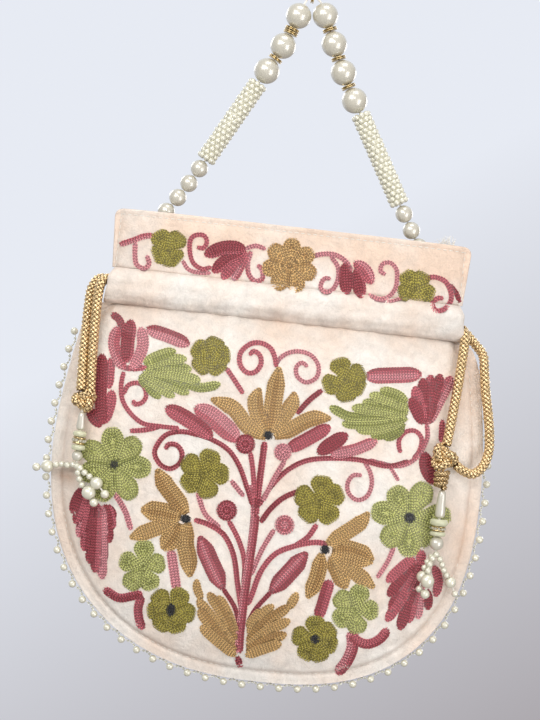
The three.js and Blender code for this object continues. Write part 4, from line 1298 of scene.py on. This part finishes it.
dashProfile = [(0.18, -0.5), (0.5, -0.25), (0.5, 0.25), (0.18, 0.5)]
dash = beadSource("dash", *turned(dashProfile, np.zeros(3), (1, 0, 0), 5))
hemLine = np.stack([np.linspace(-seams["hemHalf"], seams["hemHalf"], 300), np.full(300, -seams["hemDrop"])], 1)
sideTop = np.stack([np.full(60, seams["side"]), np.linspace(-3, casingTop + 1, 60)], 1)
innerEdge = outline[(outline[:, 1] < casingBottom - 3)]
edgeNormal = unit(np.gradient(innerEdge, axis=0))[:, ::-1] * (-1, 1)
seamEdge = innerEdge + edgeNormal * seams["inset"]
places, facings, alongs = [], [], []
for line in (hemLine, sideTop, sideTop * (-1, 1), seamEdge):
    line = resample(line, seams["pitch"])
    for face in (1, -1):
        onIt, out = onFront(line, -0.05)
        places.append(onIt * (1, face, 1))
        facings.append(out * (1, face, 1))
        alongs.append(unit(np.gradient(onIt, axis=0)) * (1, face, 1))
places, facings, alongs = (np.concatenate(item) for item in (places, facings, alongs))
size = np.array([[seams["dash"], seams["thickness"], seams["thickness"]]])
dashes = addBeads("seam_stitches", dash, places, facings, alongs, size, 0.08, 9, nylonMaterial)
carry(dashes, "nylon")
chance = np.random.default_rng(4)
fibres = []
for x in chance.uniform(seams["tuftFrom"], seams["tuftTo"], seams["tuftFibres"]):
    lean = chance.normal(0, 1.0, 2)
    tall = chance.uniform(1.6, 5.2) * (1 if x > 74 else 0.6)
    depth = chance.uniform(-2.5, 2.5)
    middle = (x + lean[0] * 0.3, depth + lean[1] * 0.2, tall * 0.45)
    tip = (x + lean[0] * 1.1, depth + lean[1] * 0.7, tall)
    line = smoothRoute([(x, depth, -0.8), middle, tip], 0.6)
    _, across, other = carriedFrames(line)
    radius = np.linspace(0.16, 0.06, len(line))
    fibres.append(sweep(line, across, other, radius, radius, 5))
points, faces, uv = joined(fibres)
carry(addMesh("frayed_tuft", points, faces, nylonMaterial, uv), "velvet")
print("stage: seams and tuft")

# Embroidery: chain stitch in rows. Places are read on the bag's middle plane as the camera sees it, in mm
embroidery = {
    "rowPitch": 1.46, "stitchPitch": 1.4, "height": 1.5, "lift": 0.15, "topLift": 0.3, "petalGap": 0.2,
    "variation": 0.06, "seed": 21, "underlayShade": 0.52, "underlayWiden": 0.42,
}
stems = [  # colours of the rows, width, route
    ("pink roseMid", 3, [(-85.5, -18), (-79, -15), (-74, -12.5), (-69, -11.5)]),
    ("pink", 2.6, [(-78, -16), (-77.5, -22), (-76, -27), (-72, -28.5), (-70, -26), (-71.5, -22)]),
    ("roseMid", 2.4, [
        (-47, -15), (-44, -15), (-42.5, -12), (-44, -9), (-47.5, -8.8), (-50.5, -11), (-50.5, -17), (-48, -23),
        (-43, -25.5), (-39, -24),
    ]),
    ("pink", 2.2, [(-53.5, -22.5), (-50, -26.5), (-45, -27.5), (-39, -27)]),
    ("pink", 2.4, [(-23, -13), (-18, -11), (-13, -12)]),
    ("roseMid pink", 2.6, [
        (-20, -14), (-21, -20), (-19.5, -26), (-16, -28.5), (-13, -27), (-13.5, -22.5), (-16, -20.5),
    ]),
    ("pink", 2.6, [(9, -14), (15, -11.5), (22, -11), (28, -14), (31, -18)]),
    ("pink", 2.4, [
        (20, -12), (24, -17), (24.5, -24), (22, -29), (18.5, -30), (16.5, -27.5), (18, -23.5), (21, -23),
    ]),
    ("pink", 2.3, [
        (48, -18), (45.5, -16.5), (46, -13), (49.5, -11.8), (53, -14.5), (54, -19), (53.5, -25), (50, -29.5),
        (46, -30.5), (41, -29),
    ]),
    ("pink", 2, [(44, -31), (52, -31), (58, -28.5)]),
    ("roseMid", 2.6, [
        (68, -17.5), (73, -16.5), (78, -18), (81, -22), (82, -27), (79, -32), (75, -33), (73, -30), (75, -27),
        (78, -26.5),
    ]),
    ("rose", 2.6, [(80, -19), (84, -23), (86.5, -27.5)]),
    ("rose", 4, [(-85.7, -53), (-82, -55), (-79.5, -59.5), (-77, -66)]),
    ("roseMid", 2.6, [
        (-1, -70), (-2, -66), (-5, -61), (-10, -59), (-15, -60), (-19.5, -65), (-19, -71), (-15, -74.5),
        (-11, -73.5), (-8.7, -69), (-10, -65), (-13, -63.5), (-15, -65.5),
    ]),
    ("pink", 2.3, [
        (-1, -69), (0, -66), (4, -62.5), (10, -61), (16, -62.5), (20, -67.5), (19.5, -73), (14.5, -76),
        (10, -73.5), (9, -69), (11.5, -66.5), (14.5, -68),
    ]),
    ("roseMid", 2.6, [(-26, -73), (-16, -85)]),
    ("rose", 2.8, [(23, -79), (17, -85), (12, -92)]),
    ("roseMid", 2.4, [
        (-76.5, -81), (-77, -88), (-75.5, -95), (-71, -101), (-64, -105.5), (-56, -106), (-46, -106),
    ]),
    ("roseMid", 2.4, [
        (-75.5, -92), (-73.5, -87.5), (-69.5, -85.8), (-65.5, -87.5), (-64, -92), (-66, -95.5), (-69.5, -96.3),
        (-69.8, -94.5),
    ]),
    ("roseMid", 2.6, [(-70, -110), (-62, -108.5), (-55, -106)]),
    ("roseMid rose", 2.6, [
        (-5, -140), (-9, -131), (-14, -121), (-20, -114), (-28, -110), (-37, -108), (-45, -107.5), (-52, -110),
        (-56, -116), (-56.5, -120), (-53, -125), (-48, -126.5), (-43.5, -123), (-43, -118), (-46, -114.5),
        (-50, -114.5), (-51.5, -117),
    ]),
    ("roseMid", 2.6, [(-9, -114), (-6.5, -124), (-4.5, -136)]),
    ("pink", 2.6, [(8.5, -116), (4, -126), (0, -137)]),
    ("roseMid rose", 2.6, [
        (-2, -140), (3, -130), (10, -121), (19, -115), (30, -112.5), (45, -111.5), (60, -113), (70, -109.5),
    ]),
    ("roseMid pink", 2.4, [
        (77, -90), (78, -96), (76, -103), (72, -109), (65, -112.5), (57, -112), (50, -111),
    ]),
    ("roseMid", 2.4, [
        (72, -108), (75, -103), (75, -97), (71.5, -94), (67, -95), (64.2, -99), (64.5, -103), (65.5, -105.5),
    ]),
    ("pink", 2.3, [
        (48, -112), (51.5, -117), (53, -123), (51, -129.5), (46.5, -131.5), (42, -128.5), (41, -123.5),
        (43.5, -119.5), (47.5, -119),
    ]),
    ("pink", 2, [(61, -113), (66, -119.5)]),
    ("rose", 2.8, [(18, -130), (10, -134.5), (4, -141), (0, -148)]),
    ("roseMid rose", 3.4, [(-3, -145), (-2.8, -125), (-2.5, -108)]),
    ("rose roseMid pink", 4.4, [
        (-3.5, -214), (-4, -205), (-4, -195), (-4, -185), (-3.5, -170), (-3, -155), (-3, -144),
    ]),
    ("rose roseMid", 2.8, [(-4, -195), (-8, -180), (-12, -165), (-18, -156), (-26, -152), (-33, -150.5)]),
    ("pink", 2.6, [(-33, -137), (-28, -147), (-20, -153)]),
    ("roseMid", 2.6, [(-16, -149), (-10, -158), (-6, -168), (-5, -180)]),
    ("pink", 2.6, [(7, -151), (2, -162), (-2, -175)]),
    ("roseMid", 2.8, [(35, -155), (28, -155), (18, -158), (9, -163), (3, -172), (-0.5, -185), (-2, -190)]),
    ("roseMid", 2.8, [(28, -146), (24, -153), (18, -158)]),
    ("pink", 2, [(-7, -130), (-5, -140), (-4.5, -150), (-4.5, -160)]),
    ("pink", 2.6, [(-17, -129), (-10, -136)]),
    ("rose", 2.4, [(-15, -183), (-8, -192), (-5, -200)]),
    ("rose", 2.4, [(9, -182), (2, -192), (-1, -199)]),
    ("rose", 3.5, [(-4, -216), (-2, -221)]),
    ("pink", 3, [(-74, -142), (-68, -150), (-64, -159)]),
    ("rose roseMid", 4.5, [(-74, -190), (-66, -193.5), (-60, -192), (-55, -190)]),
    ("roseMid rose", 4.5, [(-55, -191), (-56, -198), (-54.5, -204), (-52.5, -207.5)]),
    ("pink", 5, [(-43, -167), (-38, -186)]),
    ("rose roseMid", 6, [(37.5, -173), (34, -192)]),
    ("pink", 2.4, [(67.5, -153), (65, -161), (61, -169)]),
    ("roseMid rose", 5, [(69, -194), (66, -199), (60, -202.5), (54, -201), (52, -198)]),
    ("pink roseMid rose", 6, [(51, -197), (52.5, -204), (51, -211), (46.5, -219)]),
]
fingers = [  # blunt or slightly pointed bands that make the leaves, tulips and buds
    ("rose rose roseMid", 7, [(-23, -13), (-33, -13.5), (-42.7, -18.4)]),
    ("rose rose roseMid", 6.5, [(-22.5, -14), (-31, -19), (-37.8, -26.4)]),
    ("roseMid", 5.5, [(-22.5, -15), (-28.5, -22), (-32.8, -29.5)]),
    ("pink roseMid", 5, [(-22, -15), (-25, -23), (-27.3, -29.5)]),
    ("rose", 7, [(27.5, -14.5), (28.5, -22), (30, -30)]),
    ("rose rose roseMid", 7, [(33, -17), (35.5, -25), (37.5, -31)]),
    ("roseMid pink", 7.5, [(32, -13.5), (37, -17), (42, -23)]),
    ("rose rose roseMid", 7, [(-75.5, -54.8), (-76.2, -65), (-75.6, -76)]),
    ("pink roseMid", 6, [(-82, -59), (-83, -67), (-80.5, -74), (-76.3, -79.5)]),
    ("pink", 6, [(-70.5, -58), (-68.5, -66), (-69.5, -72), (-72.7, -79)]),
    ("roseMid", 3, [(-78.5, -79), (-72, -78.8), (-65.5, -77.5)]),
    ("rose", 6.2, [(-88, -73.5), (-87.5, -85), (-86, -98), (-84, -108)]),
    ("roseMid", 4.7, [(-83.5, -75), (-83, -90)]),
    ("roseMid", 6.2, [(-81, -91), (-82, -100), (-84, -108)]),
    ("rose", 6.2, [(-92, -101), (-88, -106), (-85, -109.5)]),
    ("pink pink rose rose", 7, [(-67.5, -58.3), (-57, -60.5), (-45.5, -63.8)]),
    ("leafDark leaf", 5.4, [(-67, -75.5), (-60, -71), (-52, -67.5)]),
    ("leaf", 5.4, [(-66, -77), (-57, -73), (-46, -71)]),
    ("leaf leafDark leaf", 5.4, [(-66, -78), (-55, -76), (-43, -76)]),
    ("leaf", 5.4, [(-66, -79), (-52, -79.5), (-38, -81)]),
    ("leafDark leaf", 4.9, [(-60, -80), (-48, -82.5), (-38, -84.5), (-33, -83.5), (-28, -81.5)]),
    ("leaf leafDark leaf", 5.4, [(-67, -80.5), (-55, -84), (-43, -88)]),
    ("leaf", 5.4, [(-68, -81.5), (-60, -85.5), (-50, -90.5)]),
    ("leafDark", 5.4, [(-68.5, -82), (-63, -87), (-57, -92)]),
    ("roseMid roseMid rose rose", 8, [(-53.5, -96.3), (-42, -101), (-29, -108.5)]),
    ("roseMid pink pink", 10, [(-39, -94.5), (-30, -98.5), (-15.5, -108.5)]),
    ("roseMid pink pink roseMid rose rose", 8, [(44, -69.6), (57.5, -67.6), (71.3, -65.5)]),
    ("rose", 6, [(75, -90), (67.5, -78)]),
    ("roseMid", 6, [(75, -90), (69, -72)]),
    ("rose", 6, [(75.5, -90), (72.5, -67.5)]),
    ("rose roseMid", 6, [(76, -90), (76.3, -65.5)]),
    ("rose", 6, [(76.5, -90), (81, -64.5)]),
    ("pink roseMid", 6, [(77, -90), (86.5, -65)]),
    ("leaf leafDark", 5.4, [(66, -80), (60, -77), (52, -75.5)]),
    ("leaf", 5.4, [(67, -83), (58, -80.5), (47, -78.5)]),
    ("leaf leafDark leaf", 5.4, [(67, -85), (56, -83.5), (44, -82.5)]),
    ("leaf", 5.4, [(67, -86), (54, -86), (39, -86)]),
    ("leafDark leaf", 4.9, [(62, -87), (48, -89.5), (38, -90.5), (32, -88.5), (28, -86.8)]),
    ("leaf leafDark leaf", 5.4, [(67, -88), (52, -92.5), (35, -94.5)]),
    ("leaf", 5.4, [(66, -89), (54, -95), (42, -96.5)]),
    ("leafDark", 5.4, [(66, -91), (58, -96.5), (50, -99)]),
    ("leafDark", 5.4, [(66, -92), (61, -97), (56, -99.5)]),
    ("roseMid roseMid rose", 7, [(9, -110.5), (18, -104.5), (29, -96.5)]),
    ("rose", 7.5, [(24.5, -110.5), (31, -105), (38, -99.5)]),
    ("pink pink roseMid", 6, [(31, -110.5), (43, -106.5), (53, -101)]),
    ("rose", 7, [(77.5, -104), (79.5, -112), (84, -119)]),
    ("roseMid", 3, [(84.5, -87), (85, -98)]),
    ("tan", 5.4, [(-5, -215.5), (-14, -210), (-24, -203)]),
    ("tanDark tan", 5.4, [(-5, -214), (-15, -206), (-26, -195)]),
    ("tan", 5.4, [(-6, -212), (-16, -201), (-27, -190)]),
    ("tanDark tan", 5.4, [(-6, -209), (-13, -197), (-22, -186)]),
    ("tan", 5.4, [(-6, -206), (-11, -196), (-17, -187)]),
    ("tan", 4.4, [(-25, -190), (-28, -184), (-28.5, -180)]),
    ("tan", 5.4, [(0, -215), (8, -211), (17, -207)]),
    ("tan tanDark", 5.4, [(0, -213), (9, -207), (19, -202)]),
    ("tan", 5.4, [(0, -211), (9, -202), (20, -195)]),
    ("tan tanDark", 5.4, [(0, -208), (8, -198), (19, -188)]),
    ("tan", 5.4, [(0, -204), (5, -195), (11, -188.5)]),
    ("tan", 4.4, [(-1, -201), (2, -196), (5, -191)]),
    ("tan", 4.9, [(18, -190), (21, -184), (22, -181)]),
    ("rose", 5.2, [(-90.5, -141), (-93, -148), (-94, -154)]),
    ("rose roseMid", 5.2, [(-89, -143), (-92, -159)]),
    ("pink roseMid", 5.2, [(-87.5, -146), (-89.5, -165.5)]),
    ("roseMid rose", 5.2, [(-86, -147), (-86, -172)]),
    ("rose", 5.2, [(-84, -148), (-82.5, -178)]),
    ("rose roseMid", 5.2, [(-82, -148), (-79.5, -182)]),
    ("pink", 5.2, [(-80, -149), (-75.5, -185)]),
    ("pink", 4.7, [(-79, -149), (-75.5, -177)]),
    ("rose", 5.2, [(-78, -148), (-74, -166.5)]),
    ("roseMid", 5.2, [(-77, -148), (-73, -160)]),
    ("rose", 5.2, [(-76.5, -148), (-73, -155.5)]),
    ("roseMid", 5.2, [(81.5, -153), (81.5, -160)]),
    ("roseMid", 5.2, [(78, -157), (72, -163), (66, -170.5)]),
    ("rose", 5.2, [(79, -158), (73, -168), (67.5, -177.5)]),
    ("rose roseMid", 5.2, [(80, -158), (74.5, -172), (69, -184)]),
    ("roseMid", 5.2, [(81, -158), (76, -174), (68, -190)]),
    ("rose", 5.7, [(81.5, -157), (78.5, -175), (75, -193.5)]),
    ("pink roseMid", 5.2, [(82, -158), (79, -189.5)]),
    ("pink", 4.7, [(82.5, -160), (83.5, -187)]),
    ("rose", 5.2, [(86.5, -172), (88, -182)]),
    ("roseMid", 4.7, [(88.5, -160), (91.5, -167), (91, -175)]),
]
lenses = [  # pointed petals and buds, from the base to the tip
    ("tan tan tanDark", 8, [(-2, -106), (-12, -101), (-20, -93), (-31.5, -89.5)]),
    ("tanDark tan tan", 8, [(-2, -103), (-7, -96), (-9.5, -88), (-8, -81.5)]),
    ("tan tanDark tan", 9, [(-0.5, -103), (-0.5, -90), (0, -78), (0.5, -70)]),
    ("tan tan tanDark", 8, [(1, -103), (5, -95), (9, -87), (9.5, -81.5)]),
    ("tanDark tan tan", 8, [(2, -105), (10, -100), (20, -93.5), (29, -92.5)]),
    ("rose roseMid pink roseMid rose", 9, [(-15, -183), (-23, -170), (-29.5, -158.5)]),
    ("rose roseMid pink roseMid rose", 9, [(9, -182), (18, -170), (24.5, -160.5)]),
    ("tan tanDark", 9, [(-37, -148), (-43, -141.5), (-50, -134), (-54.5, -127.5)]),
    ("tan tan tanDark tan tan", 10, [(-40, -150), (-50, -148.5), (-60, -148.5)]),
    ("tan", 8, [(-41, -151), (-50, -156), (-64, -163)]),
    ("tan tanDark tan", 10, [(-40, -153), (-43, -160), (-47, -167)]),
    ("tan tan tanDark", 9, [(-36, -152), (-36.5, -162), (-34, -170), (-32, -179)]),
    ("tan", 8, [(34, -155), (42, -149), (50, -142), (53, -137)]),
    ("tan tan tanDark tan", 12, [(37, -158), (46, -158), (58, -161)]),
    ("tan", 8, [(37, -160), (47, -166), (60, -174)]),
    ("tanDark tan tan", 9, [(37, -161), (42, -169), (46, -176)]),
    ("tan tanDark tan", 8, [(32, -160), (31, -172), (27.5, -183)]),
]
flowers = [  # colours of the rows from outside in, centre, petal width, (angle, reach) of each petal
    ("tanDark tan tan", (0, -19), 9.775, [(a, 14.3) for a in (90, 141, 193, 244, 296, 347, 39)]),
    ("oliveDark olive olive", (-34.5, -68.5), 10.925, [(a, 10.5) for a in (13, 73, 152, 232, 312)]),
    ("oliveDark olive olive", (-31, -127), 11.5, [(a, 13) for a in (75, 150, 5, -70, -140)]),
    ("oliveDark olive olive", (33.5, -72.5), 11.5, [(a, 11.5) for a in (112, 30, -20, -75, 205)]),
    ("oliveDark olive olive", (28, -134), 12.075, [(a, 13) for a in (88, 170, 28, 235, 310)]),
    ("oliveDark olive olive", (-39.5, -196.5), 10.925, [(a, 12.5) for a in (65, -5, -65, -118, 190, 140)]),
    ("oliveDark olive olive", (33.5, -203), 10.925, [(a, 12) for a in (95, 38, -12, -67, -115, 175)]),
    ("leafDark leaf leaf", (-76, -127.5), 12.075, [
        (100, 19), (52, 18), (0, 19), (-55, 20), (-105, 20), (155, 19), (205, 18),
    ]),
    ("leafDark leaf leaf", (73.7, -137.5), 12.65, [
        (175, 20), (232, 19), (275, 20), (310, 17), (10, 21), (70, 20), (125, 18),
    ]),
    ("leafDark leaf leaf", (-56, -176.5), 10.925, [(93, 13.5), (18, 11.5), (169, 12.5), (241, 14), (300, 13)]),
    ("leafDark leaf leaf", (51.5, -186), 10.925, [(79, 13), (148, 12.5), (220, 12.5), (285, 12.5), (4, 12.3)]),
    ("oliveDark olive olive", (-61.5, -18.5), 10.925, [(124, 11.5), (56, 11.5), (205, 8), (262, 8), (325, 8.5)]),
    ("oliveDark olive olive", (63.5, -23.5), 9.775, [(128, 10.5), (66, 10), (348, 10.5), (205, 9), (275, 6)]),
]
rounds = [  # berries and the dark middles of flowers: colours, centre, half width and half height
    ("rose roseMid", (-12, -110), 5, 5), ("pink", (7, -112), 4.5, 4.5),
    ("rose roseMid", (-17.5, -144), 5.2, 5.2), ("pink roseMid", (12, -148), 5, 5),
    ("black", (-1.2, -104.5), 2.4, 2.2), ("black", (-76, -127.5), 2.3, 2.2),
    ("black", (73.7, -137.5), 2.8, 2.6), ("black", (-37.5, -150.5), 2.8, 2.1),
    ("black", (33.5, -158), 2.5, 2.3), ("black", (-39.7, -196.5), 2.2, 3.3), ("black", (33.5, -203), 2.4, 2.2),
]


def curved(points, step=0.25):
    if len(points) < 3:
        return resample(points, step)
    return smoothRoute(points, step)


def rowsAlong(colours, width, points, profile):
    # Rows side by side along a curve. They draw together towards its ends, where inner ones stop
    line = curved(points)
    heading = unit(np.gradient(line, axis=0))
    across = np.stack([-heading[:, 1], heading[:, 0]], 1)
    share = np.linspace(0, 1, len(line))
    count = max(1, int(round(width / embroidery["rowPitch"])))
    colours, pitch = colours.split(), width / count
    half = np.maximum(profile(share, width / max(len(line) * 0.25, width)) * width / 2 - pitch / 2, 0)
    for i in range(count):
        place = 2 * i / (count - 1) - 1 if count > 1 else 0
        outer = i in (0, count - 1)
        keep = np.full(len(line), True) if outer else half * 2 / (count - 1) > pitch * 0.42
        if keep.sum() > 3:
            row = line + across * (place * half)[:, None]
            yield colours[int(i * len(colours) / count)], row[keep], pitch


def roundedEnds(share, reach):
    return np.sqrt(1 - (1 - np.clip(np.minimum(share, 1 - share) / reach, 0, 1)) ** 2)


def evenWidth(share, blunt):
    return roundedEnds(share, blunt * 0.5)


def fingerWidth(share, blunt):
    return roundedEnds(share, min(0.5, blunt * 0.9))


def lensWidth(share, _):
    return np.minimum(1, 1.25 * np.sin(math.pi * np.clip(share * 0.92 + 0.05, 0, 1)) ** 0.75)


def petalRows(colours, centre, width, angle, reach):
    # Horseshoe rows, one inside the other, that all run back towards the flower's middle
    colours = colours.split()
    direction = np.array([math.cos(math.radians(angle)), math.sin(math.radians(angle))])
    across = np.array([-direction[1], direction[0]])
    pitch = width / 2 / max(1, round(width / 2 / embroidery["rowPitch"]))
    index = 0
    while True:
        share = np.linspace(0.04, 1, 60)
        roundTip = np.sqrt(np.maximum(1 - ((share - 0.6) / 0.4) ** 2, 0))
        outer = np.where(share < 0.6, (share / 0.6) ** 0.85, roundTip)
        inset = pitch * (index + 0.5) + embroidery["petalGap"]
        tip = reach - inset
        half = outer * width / 2 - inset
        keep = (half > 0) & (share * reach <= tip)
        if keep.sum() < 4:
            break
        side = np.stack([share * reach, half], 1)[keep]
        loop = np.concatenate([side * (1, -1), [(tip, 0)], side[::-1]])
        line = np.array(centre) + loop[:, :1] * direction + loop[:, 1:] * across
        yield colours[index % len(colours)], resample(line, 0.25), pitch
        index += 1
    if index and tip > reach * 0.35:
        start, end = (np.array(centre) + direction * far for far in (reach * 0.3, tip))
        yield colours[index % len(colours)], resample([start, end], 0.25), pitch


def roundRows(colours, centre, halfWidth, halfHeight):
    colours, index = colours.split(), 0
    turn = np.linspace(0, 2 * math.pi, 40)
    pitch = embroidery["rowPitch"]
    while halfWidth > 0.5 and halfHeight > 0.5:
        a, b = halfWidth - pitch / 2, halfHeight - pitch / 2
        ring = np.array(centre) + np.stack([np.cos(turn) * max(a, 0.25), np.sin(turn) * max(b, 0.25)], 1)
        yield colours[index % len(colours)], resample(ring, 0.25), pitch
        halfWidth, halfHeight, index = halfWidth - pitch, halfHeight - pitch, index + 1


def motifs():
    # Every motif as a list of rows, the ones that lie on top first
    for item in rounds:
        yield list(roundRows(*item))
    for colours, centre, width, petals in flowers:
        for index, (angle, reach) in enumerate(petals):
            order = colours if index % 2 else " ".join(colours.split()[1:] + colours.split()[:1])
            yield list(petalRows(order, centre, width, angle, reach))
        yield list(roundRows(colours.split()[0], centre, width * 0.4, width * 0.4))
    for item in lenses:
        yield list(rowsAlong(*item, lensWidth))
    for item in fingers:
        yield list(rowsAlong(*item, fingerWidth))
    for item in stems:
        yield list(rowsAlong(*item, evenWidth))


def frontCloth(x, z):
    # Depth of the velvet's outer face at the front, the casing's roll included
    panel = plainHalf(x, z) + relief(x, z, "front")
    across = np.clip((casingTop - bag["casingHeight"] / 2 - z) / casing["halfHeight"], -1, 1)
    roll = casingHalf(x, across) + casing["wall"]
    onRoll = np.abs(z - casingTop + bag["casingHeight"] / 2) < casing["halfHeight"]
    return np.where(onRoll, np.maximum(panel, roll), panel)


def ontoCloth(flat):
    # Moves places seen on the middle plane back along the camera's rays to the velvet
    aim = np.array(view["aim"])
    place = np.array(flat, float)
    for _ in range(4):
        depth = frontCloth(place[:, 0], place[:, 1])
        place = aim + (flat - aim) * ((view["distance"] - depth) / view["distance"])[:, None]
    return place


def layStitches():
    # Stitches for every row: skips a stitch where a motif on top of it already lies
    cell = 0.55
    taken, laid = {}, []

    def cellOf(place):
        return tuple(np.floor(place / cell).astype(int))

    for number, rows in enumerate(motifs()):
        for colour, line, width in rows:
            run = runAlong(line)
            count = max(1, int(round(run[-1] / embroidery["stitchPitch"])))
            at = (np.arange(count) + 0.5) * run[-1] / count
            middle = np.stack([np.interp(at, run, line[:, k]) for k in (0, 1)], 1)
            ahead = np.stack([np.interp(at + 0.3, run, line[:, k]) for k in (0, 1)], 1)
            back = np.stack([np.interp(at - 0.3, run, line[:, k]) for k in (0, 1)], 1)
            for place, direction in zip(middle, unit(ahead - back)):
                spots = [cellOf(place + direction * d) for d in (-0.25, 0.25)]
                if any(taken.get(spot, number) != number for spot in spots):
                    continue
                across = np.array([-direction[1], direction[0]])
                for d in (-0.45, 0, 0.45):
                    for e in (-0.5, 0, 0.5):
                        taken.setdefault(cellOf(place + direction * d + across * e), number)
                laid.append((colour, *place, *direction, width, number < len(rounds)))
    return laid


def addUnderlay():
    # A thin sheet of thread colour under each motif, darkened as painted shade, so that no velvet shows between
    # its stitches
    sheets = {}
    for number, rows in enumerate(motifs()):
        if not rows:
            continue
        first, last = rows[0][1], rows[-1][1]
        if np.linalg.norm(first[0] - first[-1]) < 2.5:  # a loop: its two sides
            half = len(first) // 2
            first, last = first[:half], first[::-1][:half]
        elif len(first) != len(last):
            last = first
        count = max(3, len(first) // 5)
        pick = np.linspace(0, len(first) - 1, count).round().astype(int)
        widen = rows[0][2] * embroidery["underlayWiden"]
        spread = last[pick] - first[pick]
        heading = np.gradient(first[pick] + last[pick], axis=0)
        apart = np.linalg.norm(spread, axis=1, keepdims=True) > 0.3
        side = unit(np.where(apart, spread, heading[:, ::-1] * (-1, 1)))
        lines = [first[pick] - side * widen + (spread + 2 * side * widen) * t for t in np.linspace(0, 1, 5)]
        place = ontoCloth(np.concatenate(lines))
        x, z = place[:, 0], place[:, 1]
        points = np.stack([x, -frontCloth(x, z) - 0.06 - 0.0012 * (60 - number % 60), z], 1)
        faces = [(k * count + i, (k + 1) * count + i, (k + 1) * count + i + 1, k * count + i + 1)
                 for k in range(4) for i in range(count - 1)]
        sheets.setdefault(rows[len(rows) // 2][0], []).append((points, faces))
    for colour, parts in sheets.items():
        points, faces, uv = joined(parts)
        # Painted shade: the sheet's thread colour is darkened to stand for the shade between stitches and rows
        shade = np.full((len(points), 1), embroidery["underlayShade"])
        carry(addMesh(f"underlay_{colour}", points, faces, threadMaterials[colour], uv, shade), "velvet")


def addEmbroidery():
    laid = layStitches()
    flat = np.array([item[1:3] for item in laid])
    heading = np.array([item[3:5] for item in laid])
    place = ontoCloth(flat)
    x, z = place[:, 0], place[:, 1]
    depth = frontCloth(x, z)
    slopeX = np.clip((frontCloth(x + 0.6, z) - frontCloth(x - 0.6, z)) / 1.2, -1.2, 1.2)
    slopeZ = np.clip((frontCloth(x, z + 0.6) - frontCloth(x, z - 0.6)) / 1.2, -1.2, 1.2)
    facing = unit(np.stack([-slopeX, -np.ones(len(x)), -slopeZ], 1))
    along = np.stack([heading[:, 0], -(slopeX * heading[:, 0] + slopeZ * heading[:, 1]), heading[:, 1]], 1)
    onTop = np.array([item[6] for item in laid])
    lift = np.where(onTop, embroidery["topLift"], embroidery["lift"])
    points = np.stack([x, -depth, z], 1) + facing * lift[:, None]
    size = np.stack([
        np.full(len(x), embroidery["stitchPitch"]), [item[5] * 1.04 for item in laid],
        np.full(len(x), embroidery["height"]),
    ], 1)
    colours = np.array([item[0] for item in laid])
    print("stage: stitches laid", len(laid))
    for number, name in enumerate(sorted(set(colours))):
        chosen = colours == name
        piece = addBeads(
            f"stitches_{name}", chainStitch, points[chosen], facing[chosen], along[chosen], size[chosen],
            embroidery["variation"], embroidery["seed"] + number, threadMaterials[name],
        )
        carry(piece, "velvet")


addUnderlay()
addEmbroidery()
print("stage: embroidery")
